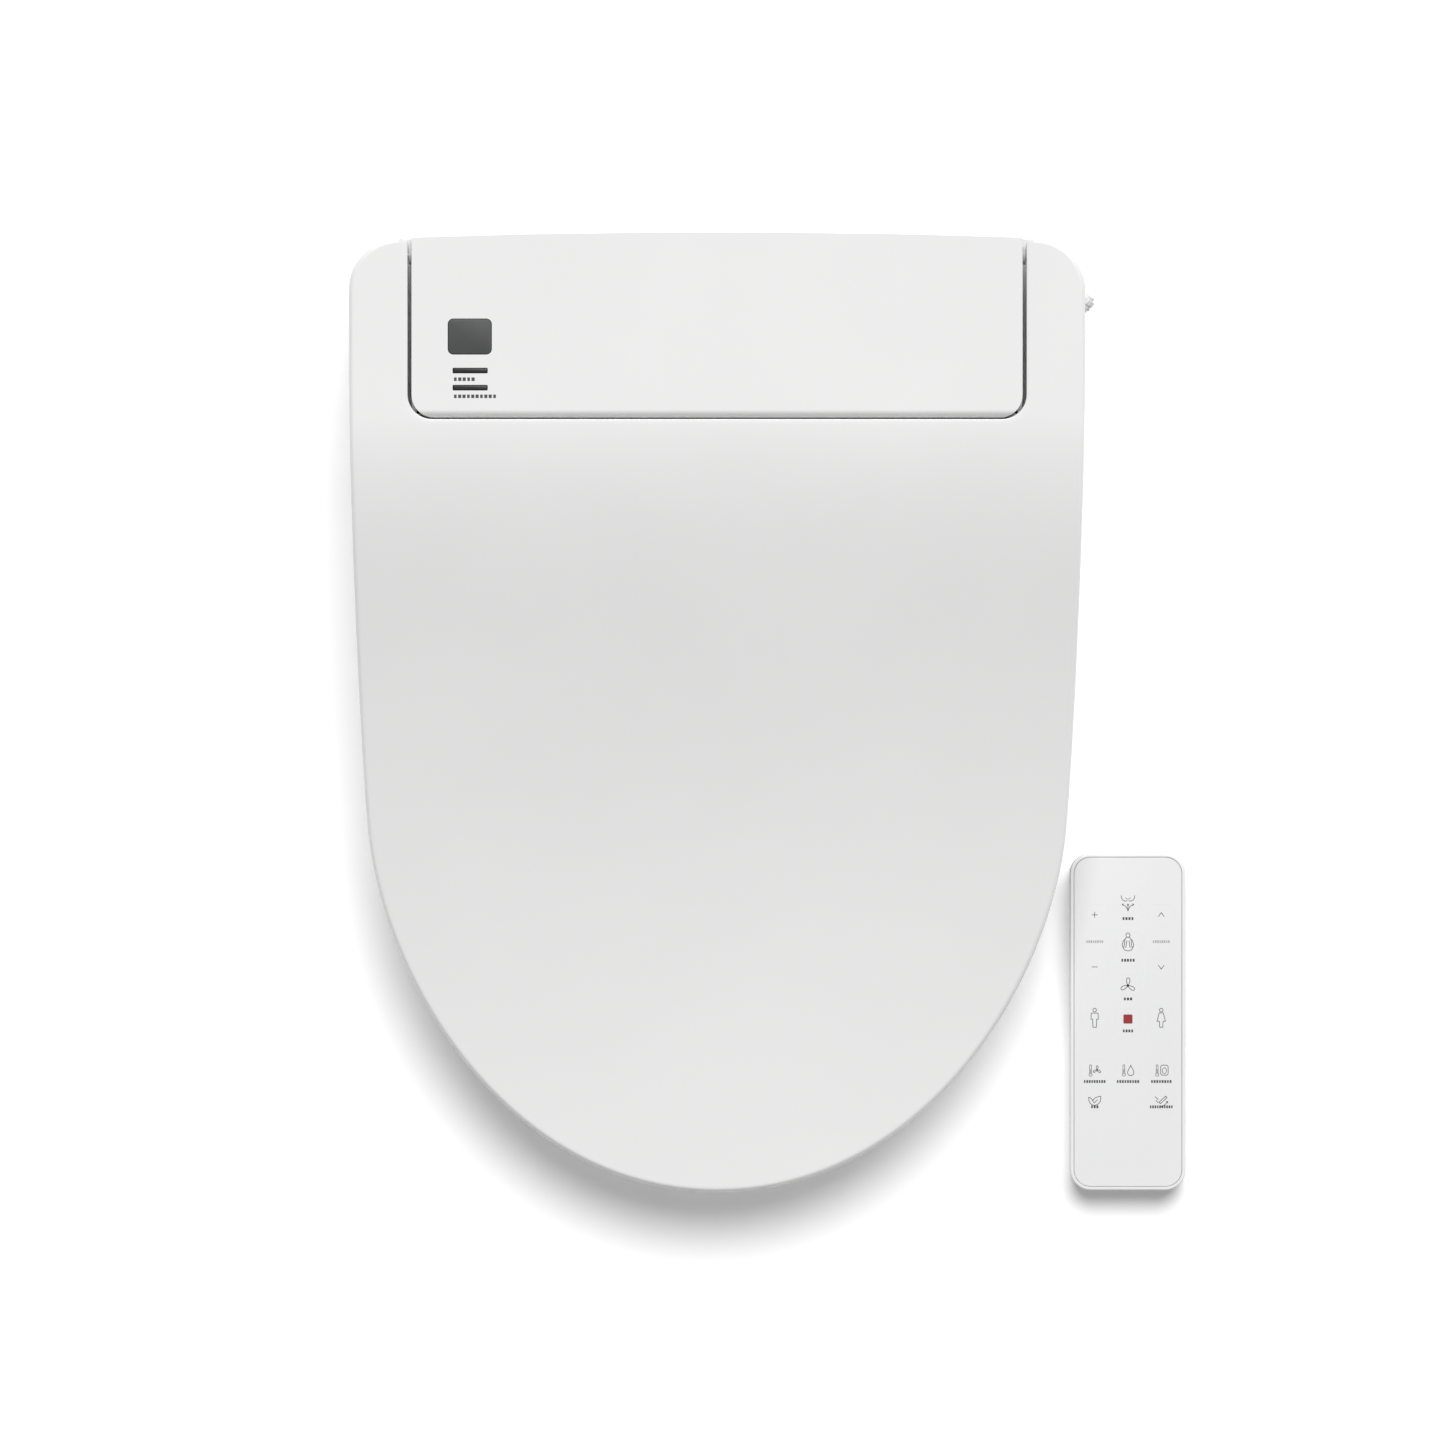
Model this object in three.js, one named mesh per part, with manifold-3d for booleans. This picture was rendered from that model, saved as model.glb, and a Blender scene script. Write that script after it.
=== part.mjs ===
// Electric bidet seat with its hand remote, built in millimetres.
// +Z is up, the nose points along -Y and the rear along +Y.
// The origin is on the bowl rim, midway between the two bowl bolts.
import * as THREE from 'three'
import { mergeVertices } from 'three/addons/utils/BufferGeometryUtils.js'
import Module from 'manifold-3d'

const wasm = await Module()
wasm.setup()

// ---------------------------------------------------------------- driving sizes
const SEAT_WIDTH = 392
const NOSE_REACH = 445.4      // bowl bolts to the nose
const REAR_REACH = 64         // bowl bolts to the rear of the lid arms
const REAR_BOW = 3            // how far the middle of the rear bulges past the arms
const REAR_CORNER = 27
const HEIGHT = 110            // bowl rim to the flat top of the housing
const NOSE_HEIGHT = 56        // bowl rim to the top of the lid at the nose
const ARM_WIDTH = 31.3        // each lid arm beside the housing
const PANEL_DEPTH = 31.7      // bowl bolts to the front edge of the top panel
const SEAT_THICKNESS = 28     // seat ring at the nose
const FOOT_HEIGHT = 8         // seat ring's underside above the bowl rim
const BOLT_SPACING = 150      // middle of the adjusting range
const BOLT_PLAY = 10          // sideways adjustment each way
const WAND_TRAVEL = 75
const WAND_TILT = 15 * Math.PI / 180
const RING_SIDE = 90          // seat ring beside the opening, measured to the lid's edge
const RING_FRONT = 55.7       // seat ring ahead of the opening, measured to the lid's edge
const WAIST_BACK = 14.8       // widest place of the opening behind its middle
const REMOTE_LENGTH = 181
const REMOTE_HEIGHT = 20
const KEY_WIDTH = 13.6
const KEY_HEIGHT = 10.6
const KEY_SPACE = 4.3         // between key columns
const KEY_MARGIN = 6.3        // from the outer keys to the remote's sides

// ---------------------------------------------------------------- clearances and walls
const GAP = 0.3               // between pieces that touch
const SWING_GAP = 0.8         // between pieces that turn past each other
const SIDE_GAP = 2.1          // open slot between the top panel and each lid arm
const WALL = 2.5
const LID_OVERHANG = 4        // lid edge past the seat edge
const HOUSING_INSET = 5       // housing side in from the lid edge

// ---------------------------------------------------------------- derived sizes
const HALF = SEAT_WIDTH / 2
const PANEL_HALF = HALF - ARM_WIDTH - SIDE_GAP
const NOTCH_HALF = HALF - ARM_WIDTH
const PANEL_CORNER = 12
const HINGE_Y = REAR_REACH - 9.2
const HINGE_Z = HEIGHT - 12
const SHAFT_RADIUS = 2.3
const BORE_RADIUS = SHAFT_RADIUS + GAP
const LOBE_RADIUS = 5.2
const SLEEVE_RADIUS = 4.2     // hinge collar inside the housing wall
const WAND_RADIUS = 6.5
const WAND_REAR_ROOM = 7.94   // from the stowed wand's rear end to the rear of the housing
const WAND_TIP_ROOM = 8       // from the stowed wand's tip to the front of the snout
const PINION_BACK = 60        // pinion behind the resting tip, along the wand
const WAND_SPARE = 10         // wand behind the end of its rack
const WAND_LENGTH = PINION_BACK + WAND_TRAVEL + WAND_SPARE
const WAND_TIP = {
  y: REAR_REACH - WAND_REAR_ROOM - WAND_LENGTH * Math.cos(WAND_TILT),
  z: 15.5,
}
const NOSE_FRONT = WAND_TIP_ROOM - WAND_TIP.y   // bowl bolts to the front of the snout
const MOTOR = { radius: 12, length: 18, earSpan: 32, earHeight: 10, room: 13.45 }
// Bowl bolts to the front of the housing, which has to clear the wand's motor.
const HOUSING_FRONT = WALL + MOTOR.room + MOTOR.earSpan / 2
  - (WAND_TIP.y + PINION_BACK * Math.cos(WAND_TILT))
const SPLIT_Z = 24            // joint between the pan and the cover
const PAN_BOTTOM = 2
const PLATE_THICKNESS = 5
const FLOOR_Z = PLATE_THICKNESS + GAP
const DECK_Z = FLOOR_Z + WALL
const SHOULDER_FRONT = SPLIT_Z + 22.2
const SHOULDER_REAR = HINGE_Z - 19
const SEAT_FRONT_TOP = FOOT_HEIGHT + SEAT_THICKNESS
const SEAT_REAR_TOP = SHOULDER_FRONT + 6
const SEAT_REAR = HOUSING_FRONT + 3.5
const HOOD_TOP = 36.5         // roof over the wand and the dryer duct
const REMOTE_WIDTH = 3 * KEY_WIDTH + 2 * KEY_SPACE + 2 * KEY_MARGIN

// ---------------------------------------------------------------- helpers
const SIDEWAYS = new THREE.Matrix4().makeBasis(
  new THREE.Vector3(0, 1, 0), new THREE.Vector3(0, 0, 1), new THREE.Vector3(1, 0, 0))

// A closed three.js geometry as a solid ready for booleans.
function solid(geometry) {
  const bare = geometry.index ? geometry.toNonIndexed() : geometry
  bare.deleteAttribute('normal')
  bare.deleteAttribute('uv')
  const merged = mergeVertices(bare, 1e-4)
  const index = merged.index.array
  const kept = []
  for (let i = 0; i < index.length; i += 3) {
    const [a, b, c] = [index[i], index[i + 1], index[i + 2]]
    if (a !== b && b !== c && c !== a) kept.push(a, b, c)
  }
  const points = Float32Array.from(merged.attributes.position.array)
  const make = (tris) => new wasm.Manifold(new wasm.Mesh({
    numProp: 3, vertProperties: points, triVerts: Uint32Array.from(tris),
  }))
  const first = make(kept)
  if (first.volume() > 0) return first
  const flipped = []
  for (let i = 0; i < kept.length; i += 3) flipped.push(kept[i], kept[i + 2], kept[i + 1])
  return make(flipped)
}

function extruded(shape, depth, segments) {
  return new THREE.ExtrudeGeometry(shape, { depth, curveSegments: segments, bevelEnabled: false })
}

// A plan outline (x, y) raised from z0 to z1.
function slab(shape, z0, z1, segments = 5) {
  return solid(extruded(shape, z1 - z0, segments).translate(0, 0, z0))
}

// A side outline (y, z) carried across from x0 to x1.
function across(shape, x0, x1, segments = 5) {
  return solid(extruded(shape, x1 - x0, segments).applyMatrix4(SIDEWAYS).translate(x0, 0, 0))
}

function block(x0, x1, y0, y1, z0, z1) {
  return solid(new THREE.BoxGeometry(x1 - x0, y1 - y0, z1 - z0)
    .translate((x0 + x1) / 2, (y0 + y1) / 2, (z0 + z1) / 2))
}

// A round rod between two points.
function rod(radius, from, to, sides = 14, endRadius = radius) {
  const a = new THREE.Vector3(...from)
  const b = new THREE.Vector3(...to)
  const way = b.clone().sub(a)
  const turn = new THREE.Quaternion()
    .setFromUnitVectors(new THREE.Vector3(0, 1, 0), way.clone().normalize())
  const middle = a.add(b).multiplyScalar(0.5)
  return solid(new THREE.CylinderGeometry(endRadius, radius, way.length(), sides)
    .applyQuaternion(turn).translate(middle.x, middle.y, middle.z))
}

// A profile of [radius, height] pairs turned about a vertical axis at x, y.
function turned(profile, x, y, sides = 16) {
  const points = profile.map(([r, h]) => new THREE.Vector2(r, h))
  return solid(new THREE.LatheGeometry(points, sides).rotateX(Math.PI / 2).translate(x, y, 0))
}

function polygon(points) {
  return new THREE.Shape(points.map(([u, v]) => new THREE.Vector2(u, v)))
}

function roundedRect(cx, cy, width, height, radius) {
  const shape = new THREE.Shape()
  const x = width / 2 - radius
  const y = height / 2 - radius
  for (let corner = 0; corner < 4; corner++) {
    const start = corner * Math.PI / 2
    const sx = corner === 0 || corner === 3 ? 1 : -1
    const sy = corner < 2 ? 1 : -1
    shape.absarc(cx + sx * x, cy + sy * y, radius, start, start + Math.PI / 2)
  }
  return shape
}

function union(first, ...rest) {
  return rest.reduce((sum, next) => sum.add(next), first)
}

const mirror = (piece) => piece.mirror([1, 0, 0])

// ---------------------------------------------------------------- the shared outline
// The plan of lid, seat and housing: square at the rear, long tapering sides, round nose.
function outline(sideInset, rearInset = sideInset) {
  const half = HALF - sideInset
  const nose = NOSE_REACH - sideInset
  const rear = REAR_REACH - rearInset
  const corner = REAR_CORNER - sideInset
  const taper = { x: half * 0.9534, y: -nose * 0.56, lean: 0.082 }
  const above = nose * 0.1421
  const below = nose * 0.1872
  const shape = new THREE.Shape()
  shape.moveTo(corner - half, rear)
  shape.quadraticCurveTo(0, rear + 2 * REAR_BOW, half - corner, rear)
  shape.absarc(half - corner, rear - corner, corner, Math.PI / 2, 0, true)
  shape.lineTo(half, 0)
  shape.bezierCurveTo(half, -nose * 0.1304,
    taper.x + taper.lean * above, taper.y + above, taper.x, taper.y)
  shape.bezierCurveTo(taper.x - taper.lean * below, taper.y - below,
    half * 0.5675, -nose, 0, -nose)
  shape.bezierCurveTo(-half * 0.5675, -nose,
    taper.lean * below - taper.x, taper.y - below, -taper.x, taper.y)
  shape.bezierCurveTo(-taper.x - taper.lean * above, taper.y + above,
    -half, -nose * 0.1304, -half, 0)
  shape.lineTo(-half, rear - corner)
  shape.absarc(corner - half, rear - corner, corner, Math.PI, Math.PI / 2, true)
  return shape
}

// The flat top and the long S-shaped slope down to the nose, lowered by `drop`.
function topLine(shape, drop) {
  const run = NOSE_REACH - PANEL_DEPTH
  const fall = HEIGHT - NOSE_HEIGHT
  shape.lineTo(-PANEL_DEPTH, HEIGHT - drop)
  shape.bezierCurveTo(
    -PANEL_DEPTH - run * 0.213, HEIGHT - drop,
    -PANEL_DEPTH - run * 0.382, NOSE_HEIGHT + fall * 0.185 - drop,
    -NOSE_REACH - 1, NOSE_HEIGHT - drop)
}

// ---------------------------------------------------------------- housing
const panelPlan = (inset) => {
  const half = PANEL_HALF - inset
  const front = inset - PANEL_DEPTH
  const corner = PANEL_CORNER - inset
  const shape = new THREE.Shape()
  shape.moveTo(-half, REAR_REACH + 20)
  shape.lineTo(-half, front + corner)
  shape.absarc(corner - half, front + corner, corner, Math.PI, Math.PI * 1.5)
  shape.absarc(half - corner, front + corner, corner, Math.PI * 1.5, Math.PI * 2)
  shape.lineTo(half, REAR_REACH + 20)
  return shape
}

// Side outline of the tower that carries the top panel, with a rounded front edge.
function towerSide(inset) {
  const front = inset - PANEL_DEPTH
  const top = HEIGHT - inset
  const edge = 4 - inset / 2
  const shape = new THREE.Shape()
  shape.moveTo(REAR_REACH + 20, SPLIT_Z - inset)
  shape.lineTo(REAR_REACH + 20, top)
  shape.lineTo(front + edge, top)
  shape.absarc(front + edge, top - edge, edge, Math.PI / 2, Math.PI)
  shape.lineTo(front, HINGE_Z - 3)
  shape.lineTo(inset - HOUSING_FRONT, SHOULDER_FRONT)
  shape.lineTo(inset - HOUSING_FRONT, SPLIT_Z - inset)
  return shape
}

// Side outline of the low shoulders that run under the lid arms.
const shoulderSide = (inset) => polygon([
  [inset - HOUSING_FRONT, SPLIT_Z - inset],
  [REAR_REACH + 20, SPLIT_Z - inset],
  [REAR_REACH + 20, SHOULDER_REAR + 5 - inset],
  [REAR_REACH, SHOULDER_REAR - inset],
  [inset - HOUSING_FRONT, SHOULDER_FRONT - inset],
])

// The snout that carries the wand and the dryer duct forward under the seat.
const NOSE_HALF = 58
const NOSE_OVERLAP = 12
const noseSlab = (inset, z0, z1) => slab(
  roundedRect(0, (NOSE_OVERLAP - NOSE_FRONT - HOUSING_FRONT) / 2, 2 * (NOSE_HALF - inset),
    NOSE_FRONT - HOUSING_FRONT + NOSE_OVERLAP - 2 * inset, 8 - inset), z0, z1, 4)

function housingBody(inset) {
  const plan = slab(outline(HOUSING_INSET + inset, inset), -1, HEIGHT + 20)
  const shoulders = across(shoulderSide(inset), -HALF, HALF)
  // Below the panel the tower is as wide as the panel, ahead of it as well.
  const column = slab(panelPlan(inset), 0, HEIGHT + 10)
  const apron = block(inset - PANEL_HALF, PANEL_HALF - inset, -HOUSING_FRONT, 0, 0, HINGE_Z)
  const tower = across(towerSide(inset), -HALF, HALF).intersect(column.add(apron))
  return plan.intersect(shoulders.add(tower)).add(noseSlab(inset, SPLIT_Z - inset, HOOD_TOP - inset))
}

const WINDOW = { x: 31 - PANEL_HALF, y: 11.4, width: 22.9, height: 18.6, radius: 2.7 }
const LIGHT = { x: WINDOW.x + 0.2, width: 18.1, height: 2.4, rows: [-6.7, -15.8] }
const INLET_Z = 34
const INLET_Y = 24.5
const GLAND_Y = 20
const GLAND = { radius: 5, flange: 8, bore: 3.2 }

function coverCuts() {
  const hole = (x, y, width, height, radius) => slab(
    roundedRect(x, y, width + 2 * GAP, height + 2 * GAP, radius), HEIGHT - 8, HEIGHT + 5, 3)
  return union(
    hole(WINDOW.x, WINDOW.y, WINDOW.width, WINDOW.height, WINDOW.radius + GAP),
    ...LIGHT.rows.map((y) => hole(LIGHT.x, y, LIGHT.width, LIGHT.height, 0.6)),
    rod(SLEEVE_RADIUS + GAP, [-HALF, HINGE_Y, HINGE_Z], [HALF, HINGE_Y, HINGE_Z], 16),
    rod(SPIGOT_RADIUS + GAP, [HALF - 20, INLET_Y, INLET_Z], [HALF, INLET_Y, INLET_Z], 16),
    rod(GLAND.radius + GAP, [-HALF, GLAND_Y, INLET_Z], [20 - HALF, GLAND_Y, INLET_Z], 16))
}

const BOARD = { width: 58, depth: 62, thickness: 1.6, margin: 4, postInset: 4, postRadius: 3 }
BOARD.x = WALL + BOARD.margin + BOARD.width / 2 - PANEL_HALF
BOARD.y = WALL + BOARD.margin + BOARD.depth / 2 - PANEL_DEPTH
BOARD.z = HEIGHT - 12
const boardCorners = [-1, 1].flatMap((sx) => [-1, 1].map((sy) => [
  BOARD.x + sx * (BOARD.width / 2 - BOARD.postInset),
  BOARD.y + sy * (BOARD.depth / 2 - BOARD.postInset)]))

function makeCover() {
  const posts = boardCorners.map(([x, y]) =>
    rod(BOARD.postRadius, [x, y, BOARD.z + BOARD.thickness + GAP], [x, y, HEIGHT - WALL / 2], 12))
  const split = block(-HALF, HALF, -NOSE_FRONT - 5, REAR_REACH + 10, -5, SPLIT_Z + GAP)
  const shell = housingBody(0).subtract(housingBody(WALL))
  return union(shell, ...posts).subtract(split).subtract(coverCuts())
}

const MOUTH = { half: 11, bottom: 5.5 }
const FLAP = { x: 40, width: 22, bottom: 7, top: SPLIT_Z - 1, thickness: 1.6 }
const FLAP_HINGE = { y: -NOSE_FRONT + WALL / 2, z: FLAP.top - 1.1 }
const BUTTON = { y: -20, width: 14, bottom: 9.5, top: 19, travel: 4 }
const PLATE_HALF = 115
const PLATE_DEPTH = 42
const FINGER_X = PLATE_HALF + 2.6
const panPlan = (inset) => slab(outline(HOUSING_INSET + inset, inset), PAN_BOTTOM - 2, SPLIT_Z + 2)

function makeBase() {
  const behind = (inset) => block(-HALF, HALF, inset - HOUSING_FRONT, REAR_REACH + 10, -5, SPLIT_Z)
  const band = (z0, z1) => block(-HALF, HALF, -NOSE_FRONT - 5, REAR_REACH + 10, z0, z1)
  const outer = panPlan(0).intersect(behind(0)).intersect(band(PAN_BOTTOM, SPLIT_Z))
  const inner = panPlan(WALL).intersect(behind(WALL))
  const noseFront = block(-HALF, HALF, -NOSE_FRONT - 5, -HOUSING_FRONT, -5, SPLIT_Z + 5)
  return union(outer, noseSlab(0, PAN_BOTTOM, SPLIT_Z))
    .subtract(inner.intersect(band(DECK_Z, SPLIT_Z + 5)))
    .subtract(inner.intersect(band(-5, FLOOR_Z)))
    .subtract(noseSlab(WALL, DECK_Z, SPLIT_Z + 5))
    .subtract(noseSlab(WALL, PAN_BOTTOM + WALL, SPLIT_Z + 5).intersect(noseFront))
    .subtract(noseSlab(-1, -5, FLOOR_Z).subtract(noseFront).intersect(behind(WALL)))
    // wand mouth, dryer mouth with its flap bearings, button window and latch slot
    .subtract(block(-MOUTH.half, MOUTH.half, -NOSE_FRONT - 5, -NOSE_FRONT + 5, MOUTH.bottom, SPLIT_Z + 5))
    .subtract(block(FLAP.x - FLAP.width / 2, FLAP.x + FLAP.width / 2,
      -NOSE_FRONT - 5, -NOSE_FRONT + 5, FLAP.bottom, SPLIT_Z + 5))
    .subtract(rod(1, [FLAP.x - FLAP.width / 2 - 2, FLAP_HINGE.y, FLAP_HINGE.z],
      [FLAP.x + FLAP.width / 2 + 2, FLAP_HINGE.y, FLAP_HINGE.z], 12))
    .subtract(block(HALF - 20, HALF, BUTTON.y - BUTTON.width / 2 - GAP,
      BUTTON.y + BUTTON.width / 2 + GAP, BUTTON.bottom - GAP, BUTTON.top + GAP))
    .subtract(block(FINGER_X - BUTTON.travel - GAP, FINGER_X + 2 + GAP,
      BUTTON.y - 4 - GAP, BUTTON.y + 4 + GAP, -1, DECK_Z + 1))
}

function makeMountingPlate() {
  const slotWidth = 12.5
  const slotLength = slotWidth + 2 * BOLT_PLAY
  const plate = slab(roundedRect(0, 0, 2 * PLATE_HALF, 2 * PLATE_DEPTH, 10), 0, PLATE_THICKNESS, 4)
  const cuts = []
  for (const side of [-1, 1]) {
    const x = side * BOLT_SPACING / 2
    cuts.push(slab(roundedRect(x, 0, slotLength, slotWidth, slotWidth / 2 - 0.01), -1, 9, 3))
    cuts.push(slab(roundedRect(x, 0, slotLength + 9, slotWidth + 9, 5), PLATE_THICKNESS - 2, 9, 2))
  }
  const catchSlot = block(PLATE_HALF - BUTTON.travel, PLATE_HALF + 1,
    BUTTON.y - 5, BUTTON.y + 5, -1, PLATE_THICKNESS + 1)
  return plate.subtract(union(...cuts)).subtract(catchSlot)
}

// The latch: a push cap in the right side, a flat finger and a tooth down to the plate.
function makeReleaseButton() {
  const wallInside = HALF - HOUSING_INSET - WALL
  return union(
    block(wallInside - 2, HALF - HOUSING_INSET + 2.5, BUTTON.y - BUTTON.width / 2,
      BUTTON.y + BUTTON.width / 2, BUTTON.bottom, BUTTON.top),
    block(FINGER_X, wallInside - 1, BUTTON.y - 4, BUTTON.y + 4, DECK_Z + GAP + 0.2, DECK_Z + 3),
    block(FINGER_X, FINGER_X + 2, BUTTON.y - 4, BUTTON.y + 4, 1, DECK_Z + 1))
}

// A lens flush with the panel, with a wider foot behind the panel.
function lens(x, y, width, height, radius) {
  return union(
    slab(roundedRect(x, y, width, height, radius), HEIGHT - WALL - GAP - 0.5, HEIGHT, 3),
    slab(roundedRect(x, y, width + 3, height + 3, radius), HEIGHT - WALL - GAP - 1,
      HEIGHT - WALL - GAP, 3))
}

function makeControlBoard() {
  const top = BOARD.z + BOARD.thickness
  const board = block(BOARD.x - BOARD.width / 2, BOARD.x + BOARD.width / 2,
    BOARD.y - BOARD.depth / 2, BOARD.y + BOARD.depth / 2, BOARD.z, top)
  const receiver = block(WINDOW.x - 4, WINDOW.x + 4, WINDOW.y - 3, WINDOW.y + 3, top - 1, HEIGHT - 5)
  const lamps = LIGHT.rows.map((y) =>
    block(LIGHT.x - 2, LIGHT.x + 2, y - 1, y + 1, top - 1, HEIGHT - 5))
  // The parts hanging below the board, each [x, y, width, depth, drop] from its middle.
  const hung = (x, y, width, depth, drop) => block(BOARD.x + x - width / 2, BOARD.x + x + width / 2,
    BOARD.y + y - depth / 2, BOARD.y + y + depth / 2, BOARD.z - drop, BOARD.z + 1)
  const transformer = hung(14, 0, 24, 24, 20)
  const chip = hung(-13, -11, 14, 14, 2)
  const capacitor = rod(6, [BOARD.x - 12, BOARD.y + 16, BOARD.z - 20],
    [BOARD.x - 12, BOARD.y + 16, BOARD.z + 1], 16)
  return union(board, receiver, ...lamps, transformer, capacitor, chip)
}

// ---------------------------------------------------------------- water inlet
const INLET_LEAN = 40 * Math.PI / 180
const inletStart = [HALF - 5.2, INLET_Y, INLET_Z]
const STUB_RADIUS = 3.6
const SPIGOT_RADIUS = 5.5     // water inlet where it enters the housing and the valve
const PORT_RADIUS = 3.4       // hose ports of the valve and the heater
const BORE = 2                // water way through the inlet
const inletPoint = (distance) => [
  inletStart[0] + distance * Math.sin(INLET_LEAN),
  inletStart[1] + distance * Math.cos(INLET_LEAN), INLET_Z]

function makeWaterInlet() {
  const bore = union(rod(BORE, inletPoint(-0.5), inletPoint(30), 12),
    rod(BORE, [HALF - 30, INLET_Y, INLET_Z], inletStart, 12))
  const outside = block(HALF - HOUSING_INSET + GAP, HALF + 30, -10, 60, 20, 50)
  const body = rod(4.6, inletPoint(-6), inletPoint(6.5), 16).intersect(outside)
  return union(
    rod(SPIGOT_RADIUS, [HALF - 13.5, INLET_Y, INLET_Z], [HALF - HOUSING_INSET + 1, INLET_Y, INLET_Z], 16),
    body,
    rod(STUB_RADIUS, inletPoint(6), inletPoint(14), 16)).subtract(bore)
}

function makeInletNut() {
  const grip = rod(5.2, inletPoint(6.5 + GAP), inletPoint(12.5), 12)
  return grip.subtract(rod(STUB_RADIUS + GAP, inletPoint(6), inletPoint(17), 16))
}

const VALVE = { x: HALF - 34, y: INLET_Y, half: 17, depth: 12, below: 10, above: 9, port: 6 }
const COIL = { radius: 9, height: 22, cap: 4 }
COIL.x = PANEL_HALF - WALL - COIL.radius - 2

function makeInletValve() {
  const body = block(VALVE.x - VALVE.half, VALVE.x + VALVE.half,
    VALVE.y - VALVE.depth, VALVE.y + VALVE.depth, INLET_Z - VALVE.below, INLET_Z + VALVE.above)
  const coilTop = INLET_Z + COIL.height
  const coil = turned([[0, INLET_Z], [COIL.radius, INLET_Z], [COIL.radius, coilTop - 2],
    [COIL.cap, coilTop], [0, coilTop]], COIL.x, VALVE.y, 16)
  const foot = block(VALVE.x - 8, VALVE.x + 8, VALVE.y - 10, VALVE.y + 10, DECK_Z + GAP, INLET_Z)
  const port = rod(PORT_RADIUS, [VALVE.x - VALVE.half - VALVE.port, VALVE.y, INLET_Z],
    [VALVE.x, VALVE.y, INLET_Z], 12)
  const socket = rod(SPIGOT_RADIUS + GAP, [HALF - 20, VALVE.y, INLET_Z], [HALF, VALVE.y, INLET_Z], 20)
  return union(body, coil, foot, port).subtract(socket)
}

const TANK = { x: -56, y: 8, half: 33, depth: 74, corner: 12, flange: 2 }
TANK.bottom = DECK_Z + 4
TANK.top = TANK.bottom + 45.4

function makeWaterHeater() {
  const { x, y, half, depth, corner, bottom, top, flange } = TANK
  const tank = slab(roundedRect(x, y, 2 * half, depth, corner), bottom, top, 3)
  const rim = slab(roundedRect(x, y, 2 * (half + flange), depth + 2 * flange, corner + flange),
    top - 15.4, top - 12.1, 3)
  const feet = [-1, 1].flatMap((sx) => [-1, 1].map((sy) => {
    const place = [x + sx * (half - 9), y + sy * (depth / 2 - 11)]
    return rod(4, [...place, DECK_Z + GAP], [...place, bottom + 6], 10)
  }))
  const ports = [-12, 12].map((dx) => rod(PORT_RADIUS, [x + dx, 20, top - 2], [x + dx, 20, top + 9], 12))
  const sensor = rod(2.2, [x, -8, top - 2], [x, -8, top + 7], 10)
  return union(tank, rim, ...feet, ...ports, sensor)
}

// ---------------------------------------------------------------- wand, rack and pinion
const TOOTH = { module: 1.5, count: 12, addendum: 1, dedendum: 1.3, play: 0.3 }
const PITCH_RADIUS = TOOTH.module * TOOTH.count / 2
const TOOTH_PITCH = Math.PI * TOOTH.module
const RACK_WIDTH = 6
const PITCH_LINE = WAND_RADIUS + 2.2

// A place in the wand's own plane: `forward` past the resting tip, `up` square to the wand.
function wandPoint(forward, up) {
  return [
    WAND_TIP.y - forward * Math.cos(WAND_TILT) - up * Math.sin(WAND_TILT),
    WAND_TIP.z - forward * Math.sin(WAND_TILT) + up * Math.cos(WAND_TILT),
  ]
}
const wandPlace = (x, forward, up) => [x, ...wandPoint(forward, up)]
const pinionCentre = wandPoint(-PINION_BACK, PITCH_LINE + PITCH_RADIUS)

// Rack teeth: straight 20 degree flanks, with a tooth gap facing the pinion's axle.
function rackOutline() {
  const slope = Math.tan(20 * Math.PI / 180)
  const quarter = TOOTH_PITCH / 4
  const foot = PITCH_LINE - TOOTH.dedendum
  const tip = PITCH_LINE + TOOTH.addendum
  const points = []
  const gaps = Math.ceil((WAND_TRAVEL + 12) / TOOTH_PITCH)
  for (let gap = -1; gap <= gaps; gap++) {
    const middle = -PINION_BACK - gap * TOOTH_PITCH
    const narrow = quarter - TOOTH.dedendum * slope + TOOTH.play / 2
    const wide = quarter + TOOTH.addendum * slope + TOOTH.play / 2
    points.push([middle + wide, tip], [middle + narrow, foot], [middle - narrow, foot],
      [middle - wide, tip])
  }
  const front = points[0][0] + 1
  const rear = points[points.length - 1][0] - 1
  points.unshift([front, tip])
  points.push([rear, tip], [rear, 0], [front, 0])
  return polygon(points.map(([forward, up]) => wandPoint(forward, up)))
}

// Pinion outline: involute flanks rolled off the base circle, a tooth pointing at the rack.
function pinionOutline() {
  const base = PITCH_RADIUS * Math.cos(20 * Math.PI / 180)
  const tip = PITCH_RADIUS + TOOTH.addendum
  const root = PITCH_RADIUS - TOOTH.dedendum
  const spread = (radius) => {
    const turn = Math.sqrt(Math.max((radius / base) ** 2 - 1, 0))
    return turn - Math.atan(turn)
  }
  const halfTooth = (TOOTH_PITCH / 4 - TOOTH.play / 2) / PITCH_RADIUS + spread(PITCH_RADIUS)
  const points = []
  const toRack = -Math.PI / 2 + WAND_TILT
  for (let tooth = 0; tooth < TOOTH.count; tooth++) {
    const middle = toRack + tooth * 2 * Math.PI / TOOTH.count
    const flank = [root, base, PITCH_RADIUS, tip].map((radius) => [radius, halfTooth - spread(radius)])
    const both = [...flank.map(([r, a]) => [r, -a]), ...flank.reverse()]
    for (const [radius, angle] of both) {
      points.push([
        pinionCentre[0] + radius * Math.cos(middle + angle),
        pinionCentre[1] + radius * Math.sin(middle + angle),
      ])
    }
  }
  return polygon(points)
}

const TIP_TAPER = 2
const JETS = [8, 15]          // behind the wand's tip
const JET_RADIUS = 1.1
const HOSE_BORE = 2.5
const HOSE_DEPTH = 14

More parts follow.
